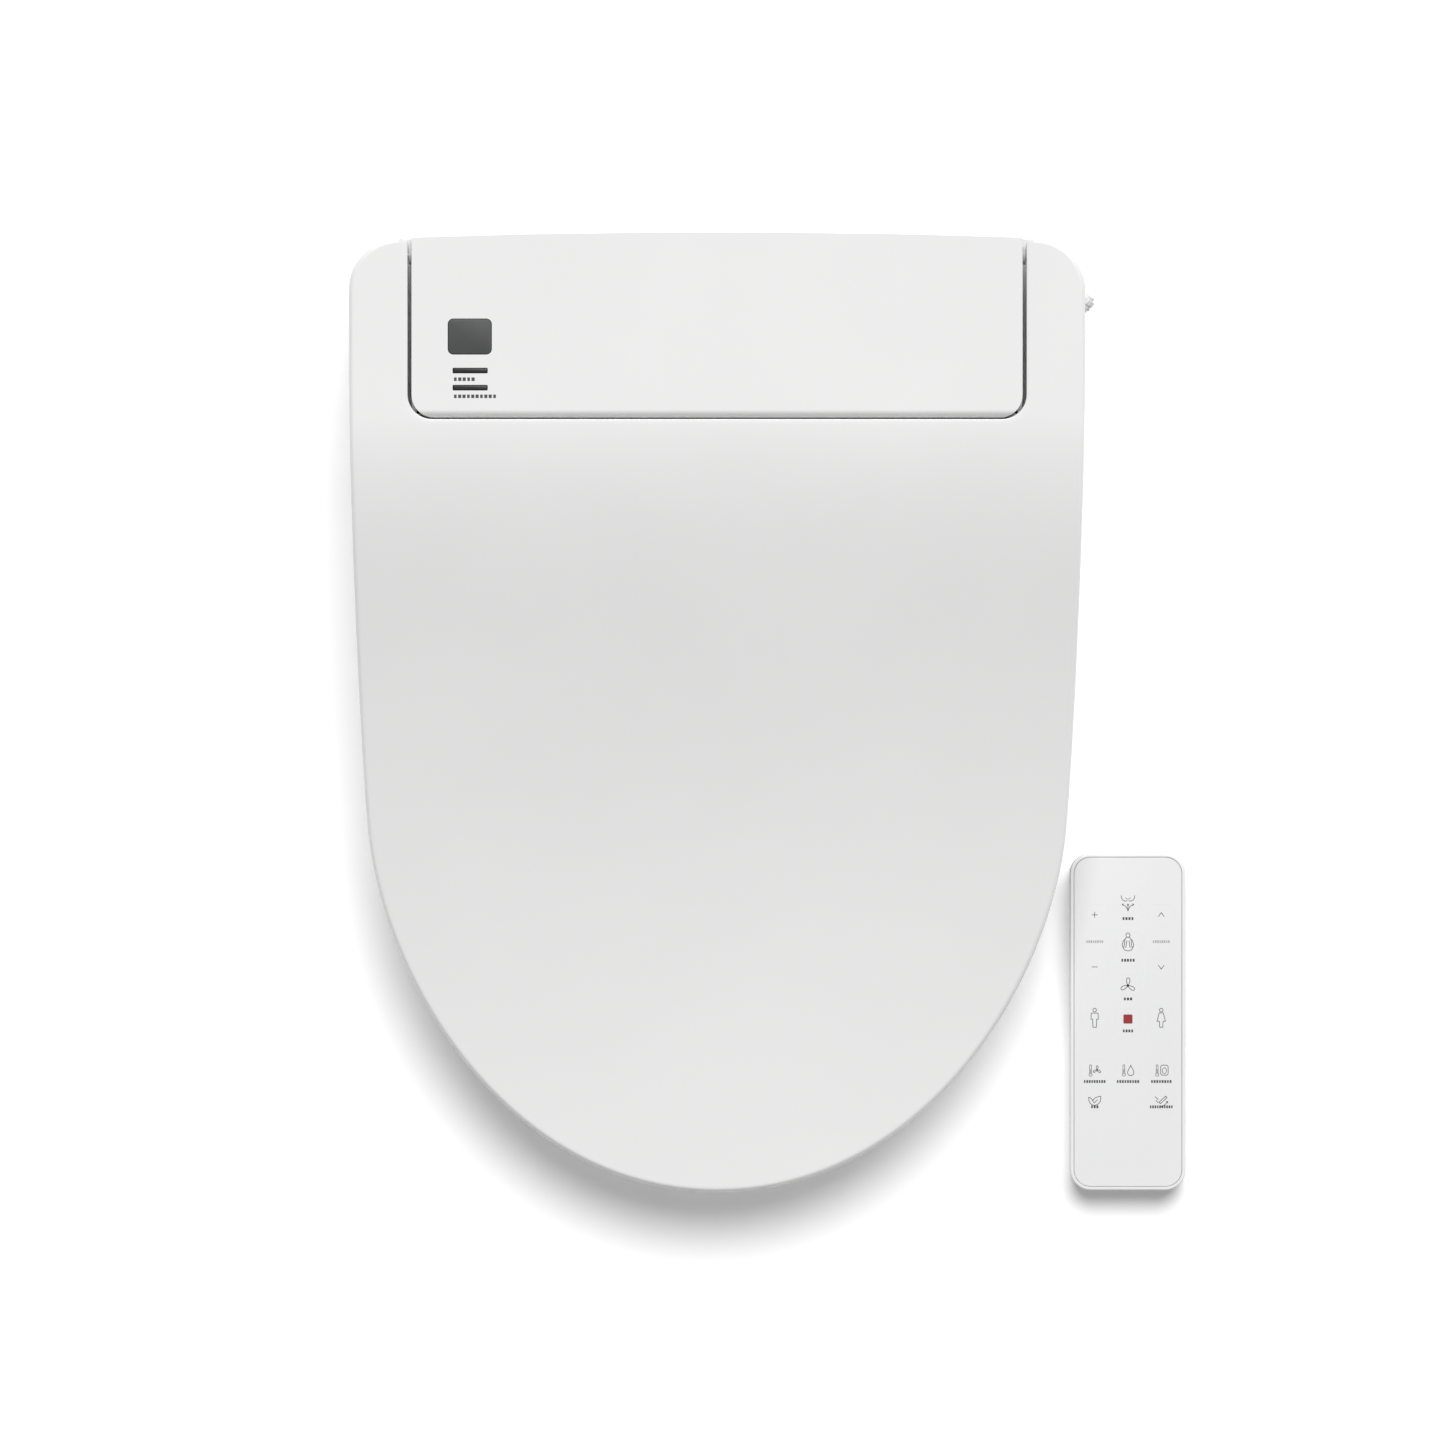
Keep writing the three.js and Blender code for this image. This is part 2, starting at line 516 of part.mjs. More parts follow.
function makeWand() {
  const tube = rod(WAND_RADIUS, wandPlace(0, -WAND_LENGTH, 0), wandPlace(0, -TIP_TAPER, 0), 16)
  const tip = rod(WAND_RADIUS, wandPlace(0, -TIP_TAPER, 0), wandPlace(0, 0, 0), 24, WAND_RADIUS - 1.6)
  const rack = across(rackOutline(), -RACK_WIDTH / 2, RACK_WIDTH / 2)
  const jets = JETS.map((back) =>
    rod(JET_RADIUS, wandPlace(0, -back, WAND_RADIUS - 4), wandPlace(0, -back, WAND_RADIUS + 2), 8))
  const hoseBore = rod(HOSE_BORE, wandPlace(0, -WAND_LENGTH - 1, 0),
    wandPlace(0, HOSE_DEPTH - WAND_LENGTH, 0), 12)
  return union(tube, tip, rack).subtract(union(...jets, hoseBore))
}

const CHEEK = { inner: 8, outer: 10.5, top: 7, reach: 9 }
const CRADLE = { rearStep: 6, frontStep: 12, floor: 3, pocketDrop: 4 }
// Lightening windows under the channel, as places behind the wand's tip.
const CRADLE_WINDOWS = [[WAND_LENGTH - 14, 104], [96, 72], [64, 44]]
const AXLE_RADIUS = 2

function makeCradle() {
  const rear = CRADLE.rearStep - WAND_LENGTH
  const front = -CRADLE.frontStep
  const floor = DECK_Z + GAP
  const rearFoot = wandPoint(rear, -2)
  const frontFoot = wandPoint(front, -2)
  const stepBack = -HOUSING_FRONT + 1
  const wedge = across(polygon([
    [rearFoot[0], floor], rearFoot, frontFoot,
    [frontFoot[0], PAN_BOTTOM + WALL + GAP], [-HOUSING_FRONT - GAP, PAN_BOTTOM + WALL + GAP],
    [-HOUSING_FRONT - GAP, floor], [stepBack, floor]]), -CHEEK.outer, CHEEK.outer)
  const channel = rod(WAND_RADIUS + GAP, wandPlace(0, -WAND_LENGTH - 20, 0), wandPlace(0, 30, 0), 16)
  const windows = CRADLE_WINDOWS.map(([a, b]) => {
    const [ay, az] = wandPoint(-a, -WAND_RADIUS - CRADLE.pocketDrop)
    const [by, bz] = wandPoint(-b, -WAND_RADIUS - CRADLE.pocketDrop)
    const low = floor + CRADLE.floor
    return across(polygon([[ay, low], [ay, az], [by, bz], [by, low]]), -2 * CHEEK.outer, 2 * CHEEK.outer)
  })
  const cheekSide = new THREE.Shape()
  const [cy, cz] = pinionCentre
  cheekSide.absarc(cy, cz, CHEEK.top, 0, Math.PI)
  const [ly, lz] = wandPoint(CHEEK.reach - PINION_BACK, -4)
  const [ry, rz] = wandPoint(-CHEEK.reach - PINION_BACK, -4)
  cheekSide.lineTo(ly, lz)
  cheekSide.lineTo(ry, rz)
  const cheeks = [-1, 1].map((side) => across(cheekSide,
    side > 0 ? CHEEK.inner : -CHEEK.outer, side > 0 ? CHEEK.outer : -CHEEK.inner))
  const axleBore = rod(AXLE_RADIUS + GAP, [-2 * CHEEK.outer, cy, cz], [2 * CHEEK.outer, cy, cz], 16)
  return union(wedge, ...cheeks).subtract(union(channel, ...windows, axleBore))
}

function makePinion() {
  const [cy, cz] = pinionCentre
  return union(
    across(pinionOutline(), -RACK_WIDTH / 2, RACK_WIDTH / 2),
    rod(3.5, [-CHEEK.inner + GAP, cy, cz], [CHEEK.inner - GAP, cy, cz], 16),
    rod(AXLE_RADIUS, [-CHEEK.outer, cy, cz], [CHEEK.outer + 8, cy, cz], 16))
}

function makeWandMotor() {
  const [cy, cz] = pinionCentre
  const start = CHEEK.outer + GAP
  return union(
    rod(MOTOR.radius, [start + 2, cy, cz], [start + MOTOR.length, cy, cz], 20),
    across(roundedRect(cy, cz, MOTOR.earSpan, MOTOR.earHeight, 4.9), start, start + 3, 4))
    .subtract(rod(AXLE_RADIUS + GAP, [0, cy, cz], [CHEEK.outer + 9, cy, cz], 16))
}

// ---------------------------------------------------------------- warm-air dryer
const BLOWER = { y: 2, radius: 35, bottom: DECK_Z + GAP, top: DECK_Z + 27 }
BLOWER.x = FINGER_X - BUTTON.travel - 2.6 - BLOWER.radius   // clear of the latch finger
const DUCT = { bottom: 7.2, top: 22.6 }
const BLOWER_SKIN = 1.6
const BLADE = { count: 14, length: 9, thickness: 1.2, height: 19, lean: 0.6, inset: 5.2 }
const FAN = { lift: 1, hub: 14, rim: 4, height: 17, floor: 2 }

function makeDryerHousing() {
  const skin = BLOWER_SKIN
  const { x, y, radius, bottom, top } = BLOWER
  const left = FLAP.x - FLAP.width / 2 + GAP
  const right = FLAP.x + FLAP.width / 2 - GAP
  const mouth = -NOSE_FRONT + WALL + 1
  const duct = (inset, front) => union(
    block(left + inset, right - inset, front, -HOUSING_FRONT + 10, DUCT.bottom + inset, DUCT.top - inset),
    slab(polygon([[left + inset, -HOUSING_FRONT + 9], [right - inset, -HOUSING_FRONT + 9],
      [x + 6, y - radius + 9], [x - radius + inset + 1, y]]), bottom + inset, DUCT.top - inset))
  const outer = union(rod(radius, [x, y, bottom], [x, y, top], 16), duct(0, mouth))
  const inner = union(
    rod(radius - skin, [x, y, bottom + skin], [x, y, top - skin], 16), duct(skin, mouth - 5),
    rod(radius * 0.55, [x, y, top - 5], [x, y, top + 5], 20))
  // The duct leaves over the pan's front wall, so its low part stops short of that wall.
  const step = block(left - 5, right + 5, -HOUSING_FRONT - GAP, -HOUSING_FRONT + 20, 0, bottom)
  const stepRoof = block(left, right, -HOUSING_FRONT - GAP, -HOUSING_FRONT + 10, bottom, bottom + skin)
  return outer.subtract(inner).add(stepRoof).subtract(step)
}

function makeDryerImpeller() {
  const { x, y, radius, bottom } = BLOWER
  const low = bottom + BLOWER_SKIN + FAN.lift
  const reach = radius - FAN.rim
  const cup = FAN.hub
  const roof = low + FAN.height
  const hub = turned([[0, roof - 3], [cup - BLOWER_SKIN, roof - 3], [cup - BLOWER_SKIN, low],
    [reach, low], [reach, low + FAN.floor], [cup, low + FAN.floor], [cup, roof], [0, roof]], x, y, 20)
  const axle = rod(AXLE_RADIUS, [x, y, low], [x, y, roof - 2], 12)
  const blades = []
  for (let i = 0; i < BLADE.count; i++) {
    const blade = new THREE.BoxGeometry(BLADE.length, BLADE.thickness, BLADE.height)
      .rotateZ(BLADE.lean).translate(reach - BLADE.inset, 0, low + FAN.floor / 2 + BLADE.height / 2)
      .rotateZ(i * 2 * Math.PI / BLADE.count).translate(x, y, 0)
    blades.push(solid(blade))
  }
  return union(hub, axle, ...blades)
}

function makeDryerMotor() {
  const { x, y, bottom } = BLOWER
  const low = bottom + BLOWER_SKIN + GAP
  const radius = FAN.hub - BLOWER_SKIN - SWING_GAP
  const top = bottom + BLOWER_SKIN + FAN.lift + FAN.height - 3 - SWING_GAP + 0.6
  return rod(radius, [x, y, low], [x, y, top], 16)
    .subtract(rod(AXLE_RADIUS + GAP, [x, y, low + FAN.lift - GAP], [x, y, top + 5], 12))
}

function makeDryerFlap() {
  const half = FLAP.width / 2 - GAP
  const y = FLAP_HINGE.y
  const leaf = across(polygon([
    [y - FLAP.thickness / 2, FLAP.bottom + GAP], [y + FLAP.thickness / 2, FLAP.bottom + GAP],
    [y + FLAP.thickness / 2, FLAP_HINGE.z], [y - FLAP.thickness / 2, FLAP_HINGE.z]]),
  FLAP.x - half, FLAP.x + half)
  const barrel = rod(1, [FLAP.x - half, y, FLAP_HINGE.z], [FLAP.x + half, y, FLAP_HINGE.z], 12)
  const pin = rod(0.7, [FLAP.x - half - 1.6, y, FLAP_HINGE.z],
    [FLAP.x + half + 1.6, y, FLAP_HINGE.z], 10)
  return union(leaf, barrel, pin)
}

function makeCordGland() {
  const outside = HOUSING_INSET - HALF
  const tube = (radius, from, to) =>
    rod(radius, [outside + from, GLAND_Y, INLET_Z], [outside + to, GLAND_Y, INLET_Z], 16)
  return union(tube(GLAND.radius, -3, 10), tube(GLAND.flange, WALL + GAP, WALL + GAP + 3.2))
    .subtract(tube(GLAND.bore, -5, 15))
}

// ---------------------------------------------------------------- hinge
const hingeRod = (radius, x0, x1, sides = 16) =>
  rod(radius, [x0, HINGE_Y, HINGE_Z], [x1, HINGE_Y, HINGE_Z], sides)
const DAMPER_LENGTH = 44
const DAMPER_RADIUS = 6.2
const DAMPER_BORE = 14        // how far the shaft's hole runs into a damper
const COLLAR_RADIUS = 4.8
const TONGUE = { inner: NOTCH_HALF + WALL + SWING_GAP, outer: NOTCH_HALF + 11.3 }
const SHAFT_END = TONGUE.outer - 0.5
const driveFlat = (radius, grow) => {
  const flat = radius * 0.75 + grow
  return block(0, HALF, HINGE_Y - 10, HINGE_Y + 10, HINGE_Z - 10, HINGE_Z + flat)
}

function makeDamper() {
  const inside = PANEL_HALF - WALL - GAP
  return union(
    hingeRod(DAMPER_RADIUS, inside - DAMPER_LENGTH, inside - 2, 20),
    across(roundedRect(HINGE_Y - 1.5, HINGE_Z, 15, 13, 2), inside - 3, inside, 3))
    .subtract(hingeRod(SLEEVE_RADIUS + GAP, inside - 4, HALF))
    .subtract(hingeRod(BORE_RADIUS, inside - DAMPER_BORE, HALF))
}

function makeCollar() {
  const inside = PANEL_HALF - WALL - GAP
  return union(
    hingeRod(SLEEVE_RADIUS, inside - 3.5, PANEL_HALF + 1, 16),
    hingeRod(COLLAR_RADIUS, PANEL_HALF + GAP, PANEL_HALF + SIDE_GAP - GAP, 16))
    .subtract(hingeRod(BORE_RADIUS, 0, HALF))
}

// The shaft's driving end has a flat along its top, from `flatFrom` to `flatTo`.
function makeShaft(flatFrom, flatTo) {
  const start = PANEL_HALF - WALL - GAP - DAMPER_BORE + 1
  const whole = hingeRod(SHAFT_RADIUS, start, SHAFT_END)
  const flat = block(flatFrom, flatTo, HINGE_Y - 10, HINGE_Y + 10,
    HINGE_Z + SHAFT_RADIUS * 0.75, HINGE_Z + 10)
  return whole.subtract(flat)
}

// ---------------------------------------------------------------- seat ring
const BRIDGE_DEPTH = 54       // ring between the housing and the opening

// The opening, or the opening grown outward by `grow`.
function seatHole(grow) {
  const half = HALF - RING_SIDE + grow
  const rear = -(HOUSING_FRONT + BRIDGE_DEPTH) + grow
  const front = RING_FRONT - NOSE_REACH - grow
  const waist = (RING_FRONT - NOSE_REACH - HOUSING_FRONT - BRIDGE_DEPTH) / 2 + WAIST_BACK
  const shape = new THREE.Shape()
  shape.moveTo(0, rear)
  shape.bezierCurveTo(half * 0.6, rear, half, rear + (waist - rear) * 0.4, half, waist)
  shape.bezierCurveTo(half, waist + (front - waist) * 0.55, half * 0.56, front, 0, front)
  shape.bezierCurveTo(-half * 0.56, front, -half, waist + (front - waist) * 0.55, -half, waist)
  shape.bezierCurveTo(-half, rear + (waist - rear) * 0.4, -half * 0.6, rear, 0, rear)
  return shape
}

const NOSE_SPARE = 5          // the slope runs on this far past the nose before it is trimmed

// Side outline of the ring between a floor height and its own top lowered by `drop`.
function ringSide(floor, drop, rear) {
  const nose = -NOSE_REACH - NOSE_SPARE
  const shape = new THREE.Shape()
  shape.moveTo(nose, floor)
  shape.lineTo(-rear, floor)
  shape.lineTo(-rear, SEAT_REAR_TOP - drop)
  shape.bezierCurveTo(-NOSE_REACH * RING_SLOPE.start, SEAT_REAR_TOP - drop,
    -NOSE_REACH * RING_SLOPE.end, SEAT_FRONT_TOP - drop, nose, SEAT_FRONT_TOP - drop)
  return shape
}

const RING_SLOPE = { start: 0.4, end: 0.55 }   // shares of the nose reach that shape the slope
const BRIDGE_HALF = NOSE_HALF + 6
const BRIDGE_Z = HOOD_TOP + 2
const BRIDGE_FRONT = NOSE_FRONT + 37.2          // how far forward the ring stays open below
const FOOT = { radius: 9.5, stem: 3, rearY: -133.6, rearIn: 74.5, frontIn: 62.4, frontShare: 0.4 }
const FEET = [
  [FOOT.rearIn - HALF, FOOT.rearY], [HALF - FOOT.rearIn, FOOT.rearY],
  [-FOOT.frontShare * HALF, FOOT.frontIn - NOSE_REACH],
  [FOOT.frontShare * HALF, FOOT.frontIn - NOSE_REACH]]

// Height of the ring's top at a place along the seat, found on its own curve.
function ringTopAt(y) {
  const rear = -SEAT_REAR
  const nose = -NOSE_REACH - NOSE_SPARE
  const along = [rear, -NOSE_REACH * RING_SLOPE.start, -NOSE_REACH * RING_SLOPE.end, nose]
  const bezier = ([a, b, c, d], t) =>
    a * (1 - t) ** 3 + 3 * b * t * (1 - t) ** 2 + 3 * c * t * t * (1 - t) + d * t ** 3
  let low = 0
  let high = 1
  for (let step = 0; step < 40; step++) {
    const middle = (low + high) / 2
    if (bezier(along, middle) > y) low = middle
    else high = middle
  }
  return bezier([SEAT_REAR_TOP, SEAT_REAR_TOP, SEAT_FRONT_TOP, SEAT_FRONT_TOP], low)
}
const ringPlan = (inset) =>
  slab(outline(LID_OVERHANG + inset), -5, HEIGHT, 6).subtract(slab(seatHole(inset), -6, HEIGHT + 1, 6))

// One arm from the ring up to the hinge: a broad blade and a narrow tongue with an eye.
function seatArm() {
  const bladeRear = HINGE_Y - 20
  const shoulderAt = (y) => SHOULDER_FRONT
    + (y + HOUSING_FRONT) * (SHOULDER_REAR - SHOULDER_FRONT) / (REAR_REACH + HOUSING_FRONT)
  const blade = across(polygon([
    [bladeRear, shoulderAt(bladeRear) + 7], [bladeRear, HINGE_Z + LOBE_RADIUS],
    [bladeRear - 22, HINGE_Z + LOBE_RADIUS], [-20, HINGE_Z - 12], [-HOUSING_FRONT, SEAT_REAR_TOP + 6],
    [-HOUSING_FRONT - 24, SEAT_REAR_TOP - 1], [-HOUSING_FRONT - 24, SEAT_REAR_TOP - 12],
    [-SEAT_REAR, SEAT_REAR_TOP - 12], [-SEAT_REAR, SHOULDER_FRONT + 3],
    [-HOUSING_FRONT, SHOULDER_FRONT + 4]]), TONGUE.inner, HALF - 6)
  const tongueSide = new THREE.Shape()
  tongueSide.absarc(HINGE_Y, HINGE_Z, LOBE_RADIUS, -Math.PI / 2, Math.PI / 2)
  tongueSide.lineTo(bladeRear - 4, HINGE_Z + LOBE_RADIUS)
  tongueSide.lineTo(bladeRear - 4, HINGE_Z - LOBE_RADIUS)
  return blade.add(across(tongueSide, TONGUE.inner, TONGUE.outer))
}

function makeSeatTop() {
  const body = ringPlan(0).intersect(across(ringSide(FOOT_HEIGHT, 0, SEAT_REAR), -HALF, HALF, 6))
  const solidBridge = block(-BRIDGE_HALF - WALL, BRIDGE_HALF + WALL, -BRIDGE_FRONT, 0, -5, HEIGHT)
  const hollow = ringPlan(WALL)
    .intersect(across(ringSide(-1, WALL, SEAT_REAR + WALL), -HALF, HALF, 6)).subtract(solidBridge)
  const underBridge = block(-BRIDGE_HALF, BRIDGE_HALF, -BRIDGE_FRONT, 0, -5, BRIDGE_Z)
  const arm = seatArm()
  const driven = hingeRod(BORE_RADIUS, -HALF, 0).intersect(mirror(driveFlat(SHAFT_RADIUS, GAP)))
  return union(body.subtract(hollow), arm, mirror(arm))
    .subtract(underBridge).subtract(union(driven, hingeRod(BORE_RADIUS, 0, HALF)))
}

function makeSeatBase() {
  const plate = ringPlan(WALL + GAP)
    .intersect(block(-HALF, HALF, -NOSE_REACH, -SEAT_REAR - WALL - GAP, FOOT_HEIGHT, FOOT_HEIGHT + 2.2))
  const bridge = block(-BRIDGE_HALF - WALL - GAP, BRIDGE_HALF + WALL + GAP, -BRIDGE_FRONT - GAP, 0,
    -5, HEIGHT)
  const sockets = FEET.map(([x, y]) => rod(FOOT.stem + GAP, [x, y, 0], [x, y, SEAT_FRONT_TOP / 2], 12))
  return plate.subtract(union(bridge, ...sockets))
}

function makeSeatHeater() {
  const under = (floor, drop) =>
    across(ringSide(floor, WALL + GAP + drop, SEAT_REAR + WALL), -HALF, HALF, 6)
  const clearOfArms = block(-HALF, HALF, -NOSE_REACH, -HOUSING_FRONT - 27, -5, HEIGHT)
  const bridge = block(-BRIDGE_HALF - WALL - 3, BRIDGE_HALF + WALL + 3, -BRIDGE_FRONT - 3, 0,
    -5, HEIGHT)
  return ringPlan(WALL + 6).intersect(under(-1, 0)).subtract(under(-2, 1))
    .intersect(clearOfArms).subtract(bridge)
}

const makeFoot = ([x, y]) => turned([
  [0, 0], [FOOT.radius - 1.5, 0], [FOOT.radius, 1.5], [FOOT.radius, FOOT_HEIGHT - GAP],
  [FOOT.stem, FOOT_HEIGHT - GAP], [FOOT.stem, FOOT_HEIGHT + 5], [0, FOOT_HEIGHT + 5]], x, y, 14)

// ---------------------------------------------------------------- lid
const SKIRT = { nose: SEAT_FRONT_TOP + 2.5, mid: SHOULDER_FRONT + 7, rear: HINGE_Z - 15 }
const PAD = { x: 0.46 * HALF, y: FOOT.frontIn - NOSE_REACH, radius: 6, height: 9, stem: 2.5, wall: 1.5 }

function lidSide(drop) {
  const edge = 5 - drop
  const rear = REAR_REACH - 0.1
  const shape = new THREE.Shape()
  shape.moveTo(-NOSE_REACH - 1, drop ? -1 : SKIRT.nose)
  shape.lineTo(-HOUSING_FRONT, drop ? -1 : SKIRT.mid)
  shape.lineTo(rear + drop, drop ? -1 : SKIRT.rear)
  shape.lineTo(rear + drop, HEIGHT - 5)
  shape.absarc(rear - drop - edge, HEIGHT - drop - edge, edge, 0, Math.PI / 2)
  topLine(shape, drop)
  return shape
}

function notchPlan(grow) {
  const half = NOTCH_HALF + grow
  const front = -(PANEL_DEPTH + SWING_GAP + grow)
  const corner = PANEL_CORNER + 1 + grow
  const shape = new THREE.Shape()
  shape.moveTo(half, REAR_REACH + 20)
  shape.lineTo(-half, REAR_REACH + 20)
  shape.lineTo(-half, front + corner)
  shape.absarc(corner - half, front + corner, corner, Math.PI, Math.PI * 1.5)
  shape.absarc(half - corner, front + corner, corner, Math.PI * 1.5, Math.PI * 2)
  return shape
}

// Where the pads meet the seat.
const padSeatTop = ringTopAt(PAD.y) + GAP

function makeLid() {
  const outer = slab(outline(0), 0, HEIGHT + 5, 8).intersect(across(lidSide(0), -HALF - 1, HALF + 1, 9))
  const inner = slab(outline(WALL), -2, HEIGHT + 5, 8)
    .intersect(across(lidSide(WALL), -HALF - 1, HALF + 1, 9))
    .subtract(slab(notchPlan(WALL), -5, HEIGHT + 6))
  // The wall round the notch is only a shallow lip, deeper at the hinge eyes.
  const underLip = across(polygon([
    [REAR_REACH + 20, -5], [REAR_REACH + 20, HINGE_Z - 7], [HINGE_Y - 12, HINGE_Z - 7],
    [HINGE_Y - 30, HINGE_Z - 1], [-PANEL_DEPTH - 20, HINGE_Z + 2.5], [-PANEL_DEPTH - 20, -5]]),
  -NOTCH_HALF - WALL - 0.1, NOTCH_HALF + WALL + 0.1)
  // Room behind the seat's tongues, so the rear wall passes under them as the lid opens.
  const behindTongue = block(NOTCH_HALF - 1, TONGUE.outer + 1, HINGE_Y - 4, REAR_REACH + 10,
    0, HINGE_Z - 1).subtract(block(NOTCH_HALF - 1, NOTCH_HALF + WALL, 0, REAR_REACH + 10, 0, HEIGHT))
  const driven = hingeRod(BORE_RADIUS, 0, TONGUE.inner).intersect(driveFlat(SHAFT_RADIUS, GAP))
  const bosses = union(...[-1, 1].map((side) => rod(PAD.radius + PAD.wall,
    [side * PAD.x, PAD.y, padSeatTop + PAD.height], [side * PAD.x, PAD.y, HEIGHT], 16)))
  const sockets = [-1, 1].map((side) => rod(PAD.stem + GAP,
    [side * PAD.x, PAD.y, padSeatTop], [side * PAD.x, PAD.y, padSeatTop + PAD.height + 5], 12))
  return outer.subtract(inner).subtract(slab(notchPlan(0), -6, HEIGHT + 7))
    .add(bosses.intersect(outer))
    .subtract(underLip).subtract(union(behindTongue, mirror(behindTongue)))
    .subtract(union(driven, hingeRod(BORE_RADIUS, -TONGUE.inner, 0), ...sockets))
}

function makePad(side) {
  const foot = padSeatTop + GAP
  const shoulder = padSeatTop + PAD.height - GAP
  const end = padSeatTop + PAD.height + 4
  return turned([[0, foot], [PAD.radius - 1, foot], [PAD.radius, foot + 1.2], [PAD.radius, shoulder],
    [PAD.stem, shoulder], [PAD.stem, end], [0, end]], side * PAD.x, PAD.y, 16)
}

// ---------------------------------------------------------------- remote
const REMOTE_X = HALF * 0.9534 + REMOTE_WIDTH / 2 + 3
const REMOTE_Y = -NOSE_REACH + REMOTE_LENGTH / 2
const REMOTE_CORNER = 11
const REMOTE_WALL = 1.8
const RIM_WIDTH = 1.9         // white rim seen round the face
const LEDGE_WIDTH = 3.4       // rim below the face that the face rests over
const TUB_TOP = REMOTE_HEIGHT - 2.7
const BEZEL_BOTTOM = TUB_TOP + GAP
const FACE_BOTTOM = REMOTE_HEIGHT - 1.4
const BOARD_Z = REMOTE_HEIGHT - 6
const remotePlan = (inset) => roundedRect(REMOTE_X, REMOTE_Y, REMOTE_WIDTH - 2 * inset,
  REMOTE_LENGTH - 2 * inset, REMOTE_CORNER - inset)
const WINDOW_REACH = 17       // smoked strip down each side from the top end
const WINDOW_BOTTOM = 9
const DOOR_LENGTH = 59.7
const DOOR_START = REMOTE_Y - REMOTE_LENGTH / 2 + DOOR_LENGTH
const DOOR_HALF = REMOTE_WIDTH / 2 - 3.3

// Each key's column and how far its row is below the remote's top end.
const KEYS = [
  ['key_rear_wash', 0, 27], ['key_front_wash', 0, 48], ['key_dry', 0, 71],
  ['key_stop', 0, 89], ['key_pressure_up', -1, 33], ['key_pressure_down', -1, 61],
  ['key_position_up', 1, 33], ['key_position_down', 1, 61], ['key_user_one', -1, 88.5],
  ['key_user_two', 1, 88.5], ['key_dryer_heat', -1, 116.6], ['key_water_heat', 0, 116.6],
  ['key_seat_heat', 1, 116.6], ['key_saver', -1, 132.7], ['key_swing', 1, 132.7],
].map(([name, column, row]) => ({
  name,
  x: REMOTE_X + column * (KEY_WIDTH + KEY_SPACE),
  y: REMOTE_Y + REMOTE_LENGTH / 2 - row,
}))

const topEnd = (z0, z1) => block(REMOTE_X - REMOTE_WIDTH, REMOTE_X + REMOTE_WIDTH,
  REMOTE_Y + REMOTE_LENGTH / 2 - WINDOW_REACH, REMOTE_Y + REMOTE_LENGTH, z0, z1)
const doorBay = (grow, z0, z1) => block(REMOTE_X - DOOR_HALF - grow, REMOTE_X + DOOR_HALF + grow,
  REMOTE_Y - REMOTE_LENGTH, DOOR_START + grow, z0, z1)

function makeRemoteBack() {
  const room = slab(remotePlan(REMOTE_WALL), REMOTE_WALL, TUB_TOP + 5, 3)
  const shell = slab(remotePlan(0), 0, TUB_TOP, 3).subtract(room)
  return shell.subtract(doorBay(GAP, -1, REMOTE_WALL + GAP))
    .subtract(topEnd(WINDOW_BOTTOM - GAP, TUB_TOP + 1))
}

function makeRemoteWindow() {
  return slab(remotePlan(0), WINDOW_BOTTOM, TUB_TOP, 3)
    .subtract(slab(remotePlan(REMOTE_WALL), 0, TUB_TOP + 5, 3))
    .intersect(topEnd(0, REMOTE_HEIGHT).translate([0, GAP, 0]))
}

function makeBezel() {
  return union(
    slab(remotePlan(0), BEZEL_BOTTOM, REMOTE_HEIGHT, 3),
    slab(remotePlan(REMOTE_WALL + GAP), BEZEL_BOTTOM - 2.2, BEZEL_BOTTOM + 0.1, 3))
    .subtract(slab(remotePlan(RIM_WIDTH), FACE_BOTTOM - GAP, REMOTE_HEIGHT + 1, 3))
    .subtract(slab(remotePlan(LEDGE_WIDTH), 0, REMOTE_HEIGHT + 1, 3))
}

const makeDoor = () => slab(remotePlan(0), 0, REMOTE_WALL, 3).intersect(doorBay(0, -1, REMOTE_WALL))

function makeFace() {
  const holes = KEYS.map(({ x, y }) => slab(
    roundedRect(x, y, KEY_WIDTH + 2 * GAP, KEY_HEIGHT + 2 * GAP, 2.3), 0, REMOTE_HEIGHT + 1, 1))
  return slab(remotePlan(RIM_WIDTH + GAP), FACE_BOTTOM, REMOTE_HEIGHT - 0.2, 3).subtract(union(...holes))
}

// A key: flush cap, a rim held under the face, and a stem to its switch.
function makeKey({ x, y }) {
  return union(
    slab(roundedRect(x, y, KEY_WIDTH, KEY_HEIGHT, 2), FACE_BOTTOM - 0.5, REMOTE_HEIGHT - 0.2, 1),
    block(x - KEY_WIDTH / 2 - 0.8, x + KEY_WIDTH / 2 + 0.8, y - KEY_HEIGHT / 2 - 0.8,
      y + KEY_HEIGHT / 2 + 0.8, FACE_BOTTOM - 1.1, FACE_BOTTOM - GAP),
    rod(2.2, [x, y, BOARD_Z + 1.9], [x, y, FACE_BOTTOM - 0.8], 6))
}

function makeRemoteBoard() {
  const board = slab(roundedRect(REMOTE_X, REMOTE_Y + 4, REMOTE_WIDTH - 10, REMOTE_LENGTH - 24, 3),
    BOARD_Z, BOARD_Z + 1.2, 2)
  const domes = KEYS.map(({ x, y }) => rod(3, [x, y, BOARD_Z + 1], [x, y, BOARD_Z + 1.4], 6))
  const emitter = block(REMOTE_X - 2.5, REMOTE_X + 2.5, REMOTE_Y + REMOTE_LENGTH / 2 - 12,
    REMOTE_Y + REMOTE_LENGTH / 2 - 4, BOARD_Z - 3, BOARD_Z + 1)
  return union(board, emitter, ...domes)
}

const CELL = { radius: 5.2, length: 43.5, nub: 1.9 }

